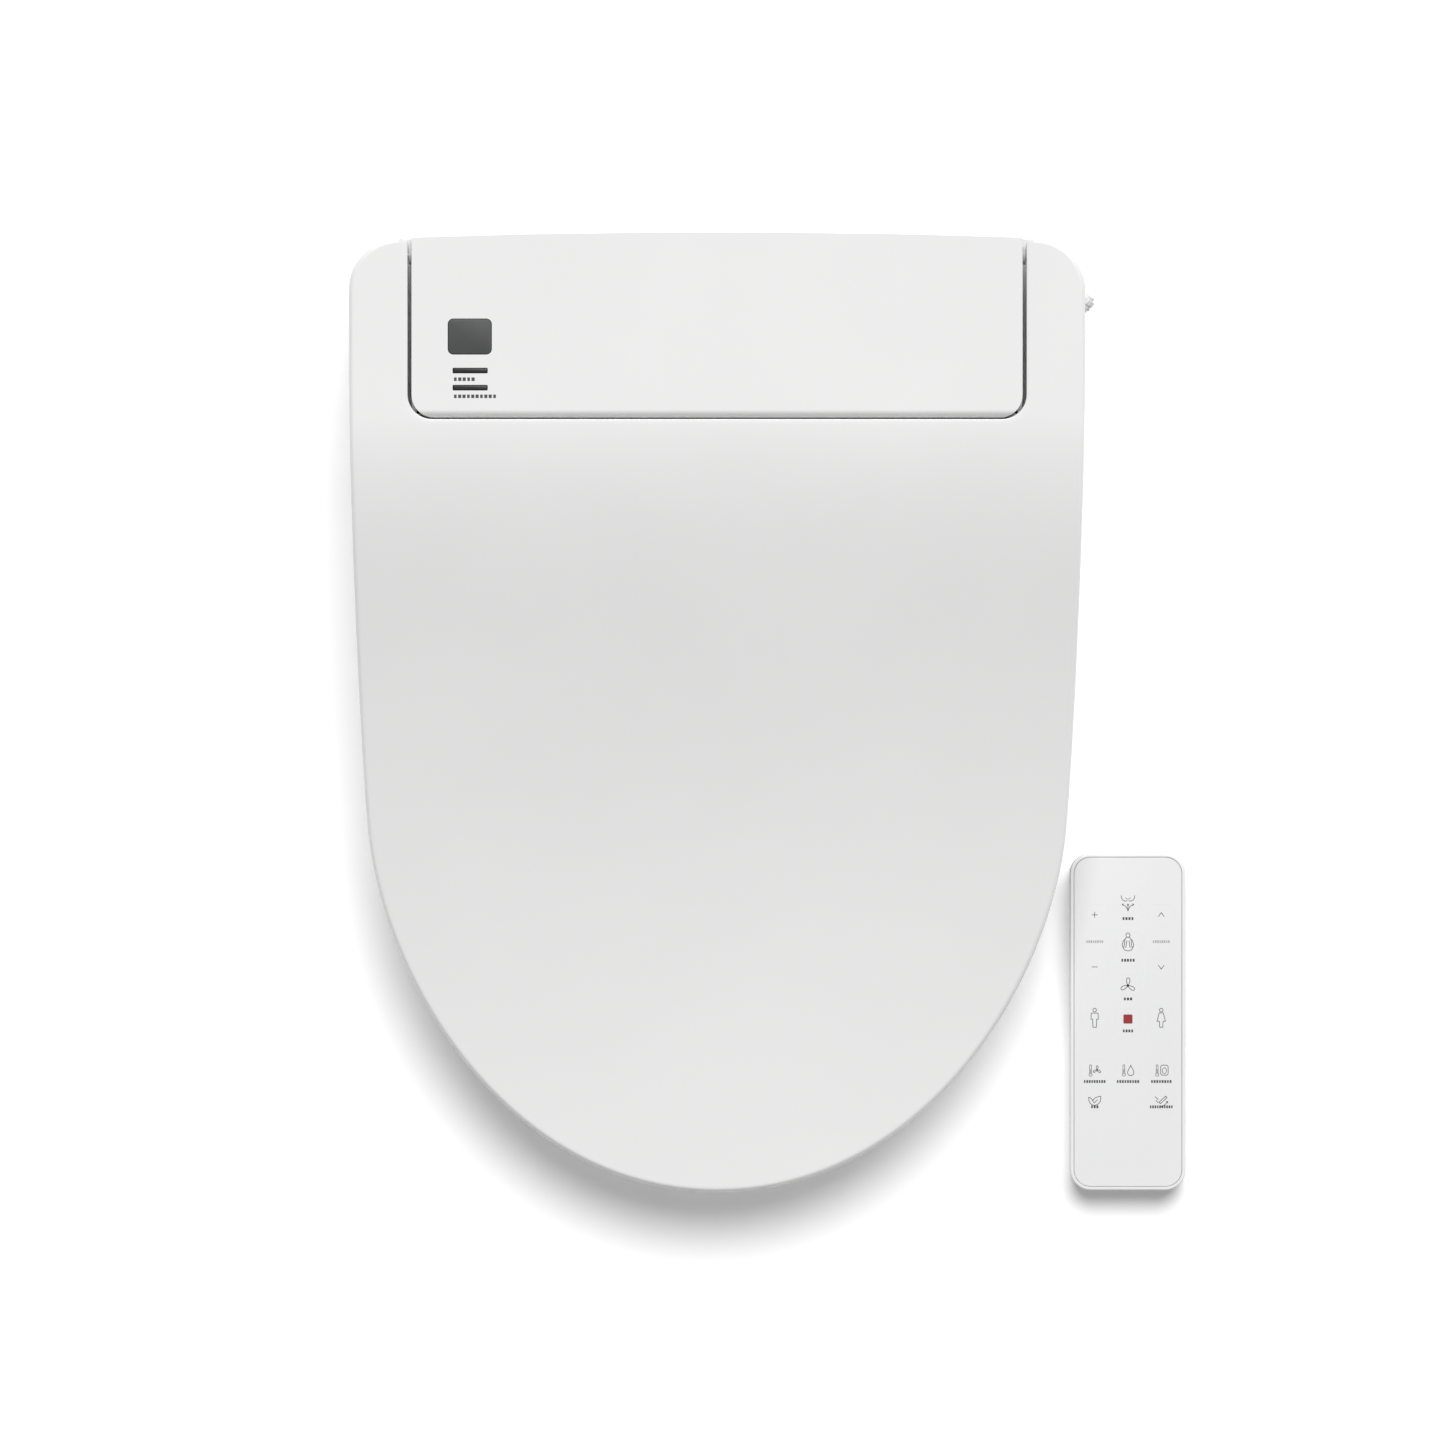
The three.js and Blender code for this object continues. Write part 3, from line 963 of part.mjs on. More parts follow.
function makeBattery(side) {
  const x = REMOTE_X + side * (CELL.radius + 0.8)
  const z = REMOTE_WALL + 0.6 + CELL.radius
  const start = DOOR_START - 5
  const end = start - CELL.length
  const nub = side > 0 ? start : end
  return union(
    rod(CELL.radius, [x, end, z], [x, start, z], 20),
    rod(CELL.nub, [x, nub - 1, z], [x, nub + 1, z], 12))
}

// ---------------------------------------------------------------- the assembly
const LOOKS = {
  white: [0xf2f2f1, 0.28, 0],
  seat: [0xf0f0ee, 0.3, 0],
  grey: [0xd5d6d7, 0.45, 0],
  smoke: [0x3f4041, 0.12, 0],
  black: [0x1f2021, 0.3, 0],
  steel: [0xb9bcbe, 0.3, 1],
  silver: [0xb6b8ba, 0.32, 1],
  rubber: [0x8d8f90, 0.85, 0],
  works: [0xc9ccd0, 0.55, 0],
  motor: [0x8f9499, 0.35, 1],
  green: [0x2f6b46, 0.5, 0],
  heater: [0xb58a4a, 0.4, 0.6],
  face: [0xe2e2e1, 0.4, 0],
}

const group = new THREE.Group()
group.name = 'electric_bidet_seat'

function add(name, piece, look) {
  const { numProp, vertProperties, triVerts } = piece.getMesh()
  const geometry = new THREE.BufferGeometry()
  const points = new Float32Array(vertProperties.length / numProp * 3)
  for (let i = 0; i < points.length / 3; i++) {
    for (let axis = 0; axis < 3; axis++) points[i * 3 + axis] = vertProperties[i * numProp + axis]
  }
  geometry.setAttribute('position', new THREE.BufferAttribute(points, 3))
  geometry.setIndex(new THREE.BufferAttribute(Uint32Array.from(triVerts), 1))
  geometry.computeVertexNormals()
  const [color, roughness, metalness] = LOOKS[look]
  const mesh = new THREE.Mesh(geometry, new THREE.MeshStandardMaterial({ color, roughness, metalness }))
  mesh.name = name
  group.add(mesh)
}

add('mounting_plate', makeMountingPlate(), 'steel')
add('housing_base', makeBase(), 'white')
add('housing_cover', makeCover(), 'white')
add('release_button', makeReleaseButton(), 'grey')
add('signal_window', lens(WINDOW.x, WINDOW.y, WINDOW.width, WINDOW.height, WINDOW.radius), 'smoke')
add('power_light', lens(LIGHT.x, LIGHT.rows[0], LIGHT.width, LIGHT.height, 0.4), 'black')
add('saver_light', lens(LIGHT.x, LIGHT.rows[1], LIGHT.width, LIGHT.height, 0.4), 'black')
add('control_board', makeControlBoard(), 'green')
add('water_inlet', makeWaterInlet(), 'grey')
add('inlet_nut', makeInletNut(), 'white')
add('inlet_valve', makeInletValve(), 'works')
add('water_heater', makeWaterHeater(), 'works')
add('nozzle_cradle', makeCradle(), 'works')
add('nozzle_wand', makeWand(), 'white')
add('wand_pinion', makePinion(), 'grey')
add('wand_motor', makeWandMotor(), 'motor')
add('dryer_housing', makeDryerHousing(), 'works')
add('dryer_impeller', makeDryerImpeller(), 'black')
add('dryer_motor', makeDryerMotor(), 'motor')
add('dryer_flap', makeDryerFlap(), 'grey')
add('cord_gland', makeCordGland(), 'rubber')
add('seat_damper', mirror(makeDamper()), 'works')
add('lid_damper', makeDamper(), 'works')
add('hinge_collar_left', mirror(makeCollar()), 'grey')
add('hinge_collar_right', makeCollar(), 'grey')
add('seat_shaft', mirror(makeShaft(TONGUE.inner, HALF)), 'steel')
add('seat_top', makeSeatTop(), 'seat')
add('seat_base', makeSeatBase(), 'seat')
add('seat_heater', makeSeatHeater(), 'heater')
FEET.forEach((place, i) => add(`seat_foot_${i + 1}`, makeFoot(place), 'rubber'))
add('lid_shaft', makeShaft(NOTCH_HALF - GAP, TONGUE.inner - GAP), 'steel')
add('lid_shell', makeLid(), 'white')
add('lid_pad_left', makePad(-1), 'rubber')
add('lid_pad_right', makePad(1), 'rubber')
add('remote_back', makeRemoteBack(), 'silver')
add('remote_bezel', makeBezel(), 'white')
add('remote_face', makeFace(), 'face')
add('remote_window', makeRemoteWindow(), 'black')
add('remote_board', makeRemoteBoard(), 'green')
add('battery_left', makeBattery(-1), 'motor')
add('battery_right', makeBattery(1), 'motor')
add('battery_door', makeDoor(), 'silver')
for (const key of KEYS) add(key.name, makeKey(key), 'face')

export default group
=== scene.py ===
import math

import bmesh
import bpy
import numpy as np
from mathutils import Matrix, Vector
from mathutils.geometry import delaunay_2d_cdt


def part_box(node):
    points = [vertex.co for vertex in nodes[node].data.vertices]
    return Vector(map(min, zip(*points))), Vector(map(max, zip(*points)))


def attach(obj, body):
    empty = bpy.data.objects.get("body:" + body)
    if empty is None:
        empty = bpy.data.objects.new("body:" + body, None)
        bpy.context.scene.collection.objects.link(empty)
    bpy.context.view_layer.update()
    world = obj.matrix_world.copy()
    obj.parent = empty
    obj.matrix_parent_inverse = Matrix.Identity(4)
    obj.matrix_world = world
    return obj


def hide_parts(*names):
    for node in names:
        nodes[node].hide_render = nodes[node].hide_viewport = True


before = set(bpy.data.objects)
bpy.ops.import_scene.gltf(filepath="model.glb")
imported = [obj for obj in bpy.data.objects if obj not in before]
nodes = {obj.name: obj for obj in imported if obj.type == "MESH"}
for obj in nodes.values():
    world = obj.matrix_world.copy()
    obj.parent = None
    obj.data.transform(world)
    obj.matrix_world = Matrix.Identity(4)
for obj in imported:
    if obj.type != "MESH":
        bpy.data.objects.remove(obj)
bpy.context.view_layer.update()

# Sizes are in millimetres and are turned into metres where a mesh is made.
MM = 0.001
SMOOTH_ANGLE = 35.0


def box_mm(node):
    """Lowest and highest corner of a CAD node in millimetres."""
    low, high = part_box(node)
    return low / MM, high / MM


# ---------------------------------------------------------------- sizes read from the frame
lid_low, lid_high = box_mm("lid_shell")
HALF = lid_high.x
NOSE = -lid_low.y
TOP = lid_high.z
collar_low, collar_high = box_mm("hinge_collar_right")
HINGE_Y = (collar_low.y + collar_high.y) / 2
HINGE_Z = (collar_low.z + collar_high.z) / 2
remote_low, remote_high = box_mm("remote_bezel")
REMOTE_X = (remote_low.x + remote_high.x) / 2
REMOTE_Y = (remote_low.y + remote_high.y) / 2
REMOTE_TOP = remote_high.z

# ---------------------------------------------------------------- driving sizes of the fine shapes
REAR = 64.0
REAR_CORNER = 27.0
PANEL_FRONT = 31.7
ARM_WIDTH = 31.3
NOTCH_HALF = HALF - ARM_WIDTH
NOTCH_FRONT = -32.5
NOTCH_CORNER = 13.0
NOTCH_LIP = 3.6
NOSE_TOP = 56.0
WALL = 2.5
LID_EDGE = 2.4
NOTCH_EDGE = 0.5
LID_CROWN = 2.2
CROWN_RUN = 160.0
CAP_STEP = 7.0
SKIRT_NOSE = 38.5
SKIRT_SHOULDER = 53.2
SKIRT_REAR = 83.0
SKIRT_OVER_HINGE = 97.0
HINGE_RELIEF = 14.5
SHOULDER_Y = -58.0
SHOULDER_FRONT_TOP = 46.2
SHOULDER_REAR_TOP = 79.0
SEAT_FLOOR = 8.0
SEAT_REAR = 61.5
SEAT_REAR_TOP = 52.2
SEAT_NOSE_TOP = 36.0
BRIDGE_HALF = 64.0
BRIDGE_FLOOR = 38.5
BRIDGE_FRONT = -130.0
HOLE_REAR = -112.0
SEAT_CENTRE = (0.0, -245.0)


# ---------------------------------------------------------------- mesh helpers
def new_piece(name, verts, faces, body, slot, material, smooth=SMOOTH_ANGLE):
    """A named mesh from millimetre points, riding on a CAD body."""
    mesh = bpy.data.meshes.new(name)
    mesh.from_pydata([(x * MM, y * MM, z * MM) for x, y, z in verts], [], faces)
    mesh.update()
    obj = bpy.data.objects.new(name, mesh)
    bpy.context.scene.collection.objects.link(obj)
    tidy_mesh(obj, smooth)
    obj.data.materials.append(material)
    if body:
        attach(obj, body)
    return obj


def tidy_mesh(obj, smooth):
    """Faces turned outward, shaded smooth up to an angle in degrees."""
    bm = bmesh.new()
    bm.from_mesh(obj.data)
    bmesh.ops.remove_doubles(bm, verts=bm.verts, dist=2e-6)
    bmesh.ops.recalc_face_normals(bm, faces=bm.faces)
    bm.to_mesh(obj.data)
    bm.free()
    for polygon in obj.data.polygons:
        polygon.use_smooth = True
    obj.data.set_sharp_from_angle(angle=math.radians(smooth))


def arc(cx, cy, radius, start, end, steps):
    """Points of an arc from one angle to another, in degrees, both ends included."""
    angles = np.radians(np.linspace(start, end, steps + 1))
    return [(cx + radius * math.cos(a), cy + radius * math.sin(a)) for a in angles]


def bezier(p0, p1, p2, p3, steps):
    """Points of a cubic curve, both ends included."""
    t = np.linspace(0, 1, steps + 1)[:, None]
    p = [np.array(q, float) for q in (p0, p1, p2, p3)]
    curve = (1 - t) ** 3 * p[0] + 3 * (1 - t) ** 2 * t * p[1] + 3 * (1 - t) * t ** 2 * p[2] + t ** 3 * p[3]
    return [tuple(q) for q in curve]


def rounded_rect(cx, cy, width, height, radius, steps=12):
    """A rounded rectangle, counter-clockwise."""
    x, y = width / 2 - radius, height / 2 - radius
    points = []
    for k, (sx, sy) in enumerate(((1, 1), (-1, 1), (-1, -1), (1, -1))):
        points += arc(cx + sx * x, cy + sy * y, radius, 90 * k, 90 * k + 90, steps)
    return points


def even(points, step):
    """A closed outline with its long stretches cut into pieces no longer than a step."""
    made = []
    for (ax, ay), (bx, by) in zip(points, points[1:] + points[:1]):
        length = math.hypot(bx - ax, by - ay)
        if length < 1e-6:
            continue
        count = max(1, math.ceil(length / step))
        made += [(ax + (bx - ax) * k / count, ay + (by - ay) * k / count) for k in range(count)]
    return made


def inward(points):
    """Unit normals of a closed outline, pointing to its inside."""
    p = np.array(points)
    forward = np.roll(p, -1, 0) - p
    forward /= np.linalg.norm(forward, axis=1)[:, None]
    mean = forward + np.roll(forward, 1, 0)
    mean /= np.linalg.norm(mean, axis=1)[:, None]
    area = np.sum(p[:, 0] * np.roll(p[:, 1], -1) - np.roll(p[:, 0], -1) * p[:, 1])
    side = 1 if area > 0 else -1
    return np.stack([-mean[:, 1], mean[:, 0]], 1) * side


def stacked(outline, profile):
    """Rings of one outline, each (inset, height), joined by quads and closed at both ends."""
    base, normals = np.array(outline), inward(outline)
    count = len(base)
    verts, faces = [], []
    for inset, height in profile:
        verts += [(x, y, height) for x, y in base + normals * inset]
    for k in range(len(profile) - 1):
        for i in range(count):
            j = (i + 1) % count
            faces.append((k * count + i, k * count + j, (k + 1) * count + j, (k + 1) * count + i))
    faces.append(tuple(range(count))[::-1])
    faces.append(tuple(range((len(profile) - 1) * count, len(profile) * count)))
    return verts, faces


def edge_steps(radius, z, up=True, steps=4):
    """(inset, height) pairs of a rounded edge that ends (up) or starts at height z."""
    angles = np.radians(np.linspace(0, 90, steps + 1))
    if up:
        return [(radius * (1 - math.cos(a)), z - radius * (1 - math.sin(a))) for a in angles]
    return [(radius * (1 - math.cos(a)), z + radius * (1 - math.sin(a))) for a in angles[::-1]]


def lathe(start, axis, profile, sides=48, wave=None):
    """A profile of (distance, radius) turned about an axis. wave(angle, k) scales a ring."""
    axis = Vector(axis).normalized()
    across = axis.orthogonal().normalized()
    other = axis.cross(across)
    start = Vector(start)
    verts, faces = [], []
    for k, (distance, radius) in enumerate(profile):
        for i in range(sides):
            a = 2 * math.pi * i / sides
            r = radius * (wave(a, k) if wave else 1)
            verts.append(start + axis * distance + across * (r * math.cos(a)) + other * (r * math.sin(a)))
    for k in range(len(profile) - 1):
        for i in range(sides):
            j = (i + 1) % sides
            faces.append((k * sides + i, k * sides + j, (k + 1) * sides + j, (k + 1) * sides + i))
    faces.append(tuple(range(sides))[::-1])
    faces.append(tuple(range((len(profile) - 1) * sides, len(profile) * sides)))
    return [tuple(v) for v in verts], faces


def prism_x(side, x0, x1):
    """A side outline of (y, z) points carried across from x0 to x1."""
    count = len(side)
    verts = [(x, y, z) for x in (x0, x1) for y, z in side]
    faces = [(i, (i + 1) % count, count + (i + 1) % count, count + i) for i in range(count)]
    faces += [tuple(range(count))[::-1], tuple(range(count, 2 * count))]
    return verts, faces


def joined(*parts):
    """Several (verts, faces) pairs as one."""
    verts, faces = [], []
    for part_verts, part_faces in parts:
        shift = len(verts)
        verts += part_verts
        faces += [tuple(i + shift for i in face) for face in part_faces]
    return verts, faces


def bevelled(obj, width, segments=2, angle=40.0):
    """Small moulded radii on every edge sharper than an angle."""
    bevel = obj.modifiers.new("edge_radii", "BEVEL")
    bevel.width = width * MM
    bevel.segments = segments
    bevel.limit_method = "ANGLE"
    bevel.angle_limit = math.radians(angle)
    bevel.harden_normals = True


def cut(obj, parts):
    """Takes closed (verts, faces) solids out of a piece."""
    verts, faces = joined(*parts)
    tool = new_piece("cutter", verts, faces, None, None, obj.data.materials[0])
    boolean = obj.modifiers.new("cut", "BOOLEAN")
    boolean.operation = "DIFFERENCE"
    boolean.solver = "EXACT"
    boolean.object = tool
    graph = bpy.context.evaluated_depsgraph_get()
    mesh = bpy.data.meshes.new_from_object(obj.evaluated_get(graph))
    obj.modifiers.remove(boolean)
    old = obj.data
    obj.data = mesh
    bpy.data.meshes.remove(old)
    bpy.data.objects.remove(tool)
    tidy_mesh(obj, SMOOTH_ANGLE)


# ---------------------------------------------------------------- materials
def material(name, colour, roughness, metal=0.0, coat=0.0, grain=900.0, relief=0.02, blotch=0.012,
             rough_spread=0.018, brushed=False):
    """Moulded plastic, metal or rubber: colour drift, uneven polish and a fine surface relief."""
    made = bpy.data.materials.new(name)
    made.use_nodes = True
    tree = made.node_tree
    shader = tree.nodes["Principled BSDF"]
    shader.inputs["Metallic"].default_value = metal
    shader.inputs["Coat Weight"].default_value = coat
    shader.inputs["Coat Roughness"].default_value = 0.06
    place = tree.nodes.new("ShaderNodeTexCoord")

    def noise(scale, detail=2.0, stretch=None):
        node = tree.nodes.new("ShaderNodeTexNoise")
        node.inputs["Scale"].default_value = scale
        node.inputs["Detail"].default_value = detail
        if stretch:
            turn = tree.nodes.new("ShaderNodeMapping")
            turn.inputs["Scale"].default_value = stretch
            tree.links.new(place.outputs["Object"], turn.inputs["Vector"])
            tree.links.new(turn.outputs["Vector"], node.inputs["Vector"])
        else:
            tree.links.new(place.outputs["Object"], node.inputs["Vector"])
        return node

    def spread(source, low, high):
        node = tree.nodes.new("ShaderNodeMapRange")
        node.inputs["From Min"].default_value = 0.3
        node.inputs["From Max"].default_value = 0.7
        node.inputs["To Min"].default_value = low
        node.inputs["To Max"].default_value = high
        tree.links.new(source, node.inputs["Value"])
        return node.outputs["Result"]

    drift = noise(9.0, 3.0)
    ramp = tree.nodes.new("ShaderNodeValToRGB")
    ramp.color_ramp.elements[0].position = 0.3
    ramp.color_ramp.elements[1].position = 0.7
    ramp.color_ramp.elements[0].color = [max(0.0, c * (1 - blotch)) for c in colour] + [1]
    ramp.color_ramp.elements[1].color = [min(1.0, c * (1 + blotch)) for c in colour] + [1]
    tree.links.new(drift.outputs["Fac"], ramp.inputs["Fac"])
    tree.links.new(ramp.outputs["Color"], shader.inputs["Base Color"])
    polish = noise(240.0, 3.0)
    tree.links.new(
        spread(polish.outputs["Fac"], max(0.02, roughness - rough_spread), roughness + rough_spread),
        shader.inputs["Roughness"])
    fine = noise(grain, 2.0, (1, 60, 1) if brushed else None)
    bump = tree.nodes.new("ShaderNodeBump")
    bump.inputs["Strength"].default_value = relief
    bump.inputs["Distance"].default_value = 0.0004
    tree.links.new(fine.outputs["Fac"], bump.inputs["Height"])
    tree.links.new(bump.outputs["Normal"], shader.inputs["Normal"])
    return made


WHITE = material("gloss_white_abs", (0.80, 0.80, 0.797), 0.26, coat=0.25, grain=700, relief=0.012,
                 rough_spread=0.008)
SEAT_WHITE = material("seat_white_pp", (0.78, 0.78, 0.772), 0.33, coat=0.1, grain=900, relief=0.05)
WORKS = material("natural_nylon", (0.60, 0.62, 0.64), 0.5, grain=1400, relief=0.1, blotch=0.03)
GREY = material("grey_plastic", (0.66, 0.665, 0.67), 0.42, grain=1500, relief=0.08, blotch=0.02)
DARK_PANEL = material("smoked_panel_lens", (0.056, 0.057, 0.058), 0.55, grain=900, relief=0.02)
BLACK = material("black_lens", (0.012, 0.012, 0.0125), 0.42, grain=900, relief=0.02)
MATTE_BLACK = material("black_nylon", (0.03, 0.031, 0.033), 0.6, grain=1800, relief=0.15)
RUBBER = material("grey_rubber", (0.26, 0.265, 0.27), 0.82, grain=2600, relief=0.25, blotch=0.05)
STEEL = material("brushed_steel", (0.56, 0.57, 0.58), 0.3, metal=1.0, grain=260, relief=0.12, brushed=True)
MOTOR = material("zinc_plated", (0.42, 0.44, 0.46), 0.34, metal=1.0, grain=1200, relief=0.1, blotch=0.06)
BOARD = material("circuit_green", (0.028, 0.14, 0.062), 0.42, coat=0.3, grain=500, relief=0.2, blotch=0.12)
FOIL = material("heater_foil", (0.46, 0.27, 0.09), 0.35, metal=0.7, grain=420, relief=0.3, blotch=0.08)
SILVER = material("satin_silver", (0.47, 0.475, 0.48), 0.3, metal=0.85, grain=1500, relief=0.06)
FACE = material("satin_face", (0.735, 0.737, 0.737), 0.4, grain=1600, relief=0.05)
INK = material("grey_ink", (0.05, 0.051, 0.053), 0.6, grain=2200, relief=0.08, blotch=0.08)
PALE_INK = material("pale_ink", (0.36, 0.36, 0.36), 0.6, grain=2200, relief=0.08, blotch=0.05)
RED = material("red_ink", (0.27, 0.006, 0.009), 0.5, grain=2200, relief=0.05, blotch=0.05)

LOOKS = {
    "white": WHITE, "seat": SEAT_WHITE, "works": WORKS, "grey": GREY, "motor": MOTOR,
    "rubber": RUBBER, "steel": STEEL, "green": BOARD, "foil": FOIL, "black": MATTE_BLACK,
}
KEPT = {
    "white": ["housing_base", "housing_cover", "nozzle_wand"],
    "seat": ["seat_base"],
    "works": ["inlet_valve", "water_heater", "nozzle_cradle", "dryer_housing", "seat_damper", "lid_damper"],
    "grey": ["release_button", "wand_pinion", "dryer_flap", "water_inlet"],
    "motor": ["wand_motor", "dryer_motor", "battery_left", "battery_right"],
    "rubber": ["cord_gland"],
    "steel": ["mounting_plate", "seat_shaft", "lid_shaft"],
    "green": ["control_board", "remote_board"],
    "foil": ["seat_heater"],
    "black": ["dryer_impeller"],
}
EDGE_RADII = {"housing_base": 0.5, "housing_cover": 0.3, "mounting_plate": 0.5, "release_button": 0.5,
              "seat_base": 0.3, "dryer_flap": 0.15}
for look, names in KEPT.items():
    for name in names:
        node = nodes[name]
        node.data.materials.clear()
        node.data.materials.append(LOOKS[look])
        for polygon in node.data.polygons:
            polygon.use_smooth = True
        node.data.set_sharp_from_angle(angle=math.radians(28))
        if name in EDGE_RADII:
            bevelled(node, EDGE_RADII[name], 2, 50)


# ---------------------------------------------------------------- the lid
def right_side(inset):
    """The right side of the shared outline, from the widest straight down to the nose."""
    half, nose = HALF - inset, NOSE - inset
    taper_x, taper_y, lean = half * 0.9534, -nose * 0.56, 0.082
    above, below = nose * 0.1421, nose * 0.1872
    upper = bezier((half, 0), (half, -nose * 0.1304),
                   (taper_x + lean * above, taper_y + above), (taper_x, taper_y), 60)
    lower = bezier((taper_x, taper_y), (taper_x - lean * below, taper_y - below),
                   (half * 0.5675, -nose), (0, -nose), 90)
    return upper + lower[1:]


top_curve = np.array(bezier(
    (-PANEL_FRONT, TOP), (-PANEL_FRONT - 0.213 * (NOSE - PANEL_FRONT), TOP),
    (-PANEL_FRONT - 0.382 * (NOSE - PANEL_FRONT), NOSE_TOP + (TOP - NOSE_TOP) * 0.185),
    (-NOSE - 1, NOSE_TOP), 400))[::-1]


def lid_top(x, y):
    """Height of the lid's top: flat at the rear, one long slope, and slightly crowned."""
    along = np.interp(y, top_curve[:, 0], top_curve[:, 1])
    reach = np.clip((-PANEL_FRONT - y) / CROWN_RUN, 0, 1)
    return along - LID_CROWN * reach ** 2 * (3 - 2 * reach) * (x / HALF) ** 2


def lid_outline():
    """The lid's plan as (x, y, kind), clockwise from the notch's right end. kind is outer or notch."""
    right = arc(NOTCH_HALF + NOTCH_LIP, REAR - NOTCH_LIP, NOTCH_LIP, 180, 90, 6)
    right = [(x, y, "notch") for x, y in right]
    corner = arc(HALF - REAR_CORNER, REAR - REAR_CORNER, REAR_CORNER, 90, 0, 28)
    edge = [(x, y, "outer") for x, y in corner + right_side(0)]
    half = right + edge
    left = [(-x, y, kind) for x, y, kind in half[::-1]][1:]
    front = arc(-NOTCH_HALF + NOTCH_CORNER, NOTCH_FRONT + NOTCH_CORNER, NOTCH_CORNER, 180, 270, 16)
    front += arc(NOTCH_HALF - NOTCH_CORNER, NOTCH_FRONT + NOTCH_CORNER, NOTCH_CORNER, 270, 360, 16)
    whole = half + left + [(x, y, "notch") for x, y in front]
    made = []
    for (ax, ay, kind), (bx, by, _) in zip(whole, whole[1:] + whole[:1]):
        length = math.hypot(bx - ax, by - ay)
        if length < 1e-6:
            continue
        count = max(1, math.ceil(length / 4.0))
        made += [(ax + (bx - ax) * k / count, ay + (by - ay) * k / count, kind) for k in range(count)]
    return made


def skirt_floor(x, y, kind):
    """Height of the lid's lower edge, raised behind the hinge so that the lid can swing open."""
    if kind == "notch":
        return float(np.interp(y, [NOTCH_FRONT, HINGE_Y - 30, HINGE_Y - 12],
                               [99.6, SKIRT_OVER_HINGE, 91.0]))
    if y > HINGE_Y:
        return SKIRT_OVER_HINGE if abs(x) < NOTCH_HALF + HINGE_RELIEF else SKIRT_REAR
    return float(np.interp(y, [-NOSE - 1, SHOULDER_Y, REAR], [SKIRT_NOSE, SKIRT_SHOULDER, SKIRT_REAR]))


def inner_cap(rim, step):
    """Triangles that fill a rim with evenly spread points, sharing the rim's own points."""
    p = np.array(rim)
    q = np.roll(p, -1, 0)
    points = [Vector(v) for v in rim]
    low, high = p.min(0), p.max(0)
    for k, y in enumerate(np.arange(low[1] + step, high[1], step * 0.866)):
        xs = np.arange(low[0] + step * (1 + 0.5 * (k % 2)), high[0], step)
        here = np.column_stack([xs, np.full(len(xs), y)])
        along = q - p
        share = np.einsum("ijk,jk->ij", here[:, None] - p[None], along) / np.sum(along ** 2, 1)
        nearest = p[None] + np.clip(share, 0, 1)[:, :, None] * along[None]
        gap = np.linalg.norm(here[:, None] - nearest, axis=2).min(1)
        above = (p[None, :, 1] > y) != (q[None, :, 1] > y)
        safe = np.where(q[:, 1] == p[:, 1], 1, q[:, 1] - p[:, 1])
        crossing = p[:, 0] + (y - p[:, 1]) / safe * (q[:, 0] - p[:, 0])
        inside = np.sum(above & (here[:, :1] < crossing[None]), axis=1) % 2 == 1
        points += [Vector(v) for v in here[inside & (gap > step * 0.6)]]
    ring = [tuple(range(len(rim)))]
    verts, _, faces, _, _, _ = delaunay_2d_cdt(points, [], ring, 1, 1e-4)
    return [tuple(v) for v in verts], [tuple(f) for f in faces]


def make_lid():
    """The lid as one open surface, thickened inward to a moulded wall."""
    marked = lid_outline()
    outline = [(x, y) for x, y, _ in marked]
    normals = inward(outline)
    base = np.array(outline)
    floors = np.array([skirt_floor(*p) for p in marked])
    edge = np.array([NOTCH_EDGE if kind == "notch" else LID_EDGE for _, _, kind in marked])
    rim_top = lid_top(base[:, 0], base[:, 1]) - edge
    verts, faces, count = [], [], len(base)
    for share in (0.0, 0.12, 0.4, 0.7, 0.9):
        heights = floors + (rim_top - floors) * share
        verts += [(x, y, z) for (x, y), z in zip(base, heights)]
    rows = 5
    for inset, height in edge_steps(1.0, 0.0, True, 7):
        ring = base + normals * (inset * edge)[:, None]
        heights = lid_top(ring[:, 0], ring[:, 1]) + height * edge
        verts += [(x, y, z) for (x, y), z in zip(ring, heights)]
        rows += 1
    for k in range(rows - 1):
        for i in range(count):
            j = (i + 1) % count
            faces.append((k * count + i, k * count + j, (k + 1) * count + j, (k + 1) * count + i))
    rim = base + normals * (LID_EDGE + 0.8)
    verts += [(x, y, float(lid_top(x, y))) for x, y in rim]
    faces += [((rows - 1) * count + i, (rows - 1) * count + (i + 1) % count,
               rows * count + (i + 1) % count, rows * count + i) for i in range(count)]
    cap_verts, cap_faces = inner_cap([tuple(p) for p in rim], CAP_STEP)
    shift = len(verts)
    verts += [(x, y, float(lid_top(x, y))) for x, y in cap_verts]
    faces += [tuple(i + shift for i in face) for face in cap_faces]
    lid = new_piece("lid_moulding", verts, faces, None, None, WHITE, 50)
    wall = lid.modifiers.new("wall", "SOLIDIFY")
    wall.thickness = WALL * MM
    wall.offset = -1
    wall.use_even_offset = False
    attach(lid, "lid")
    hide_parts("lid_shell")


make_lid()


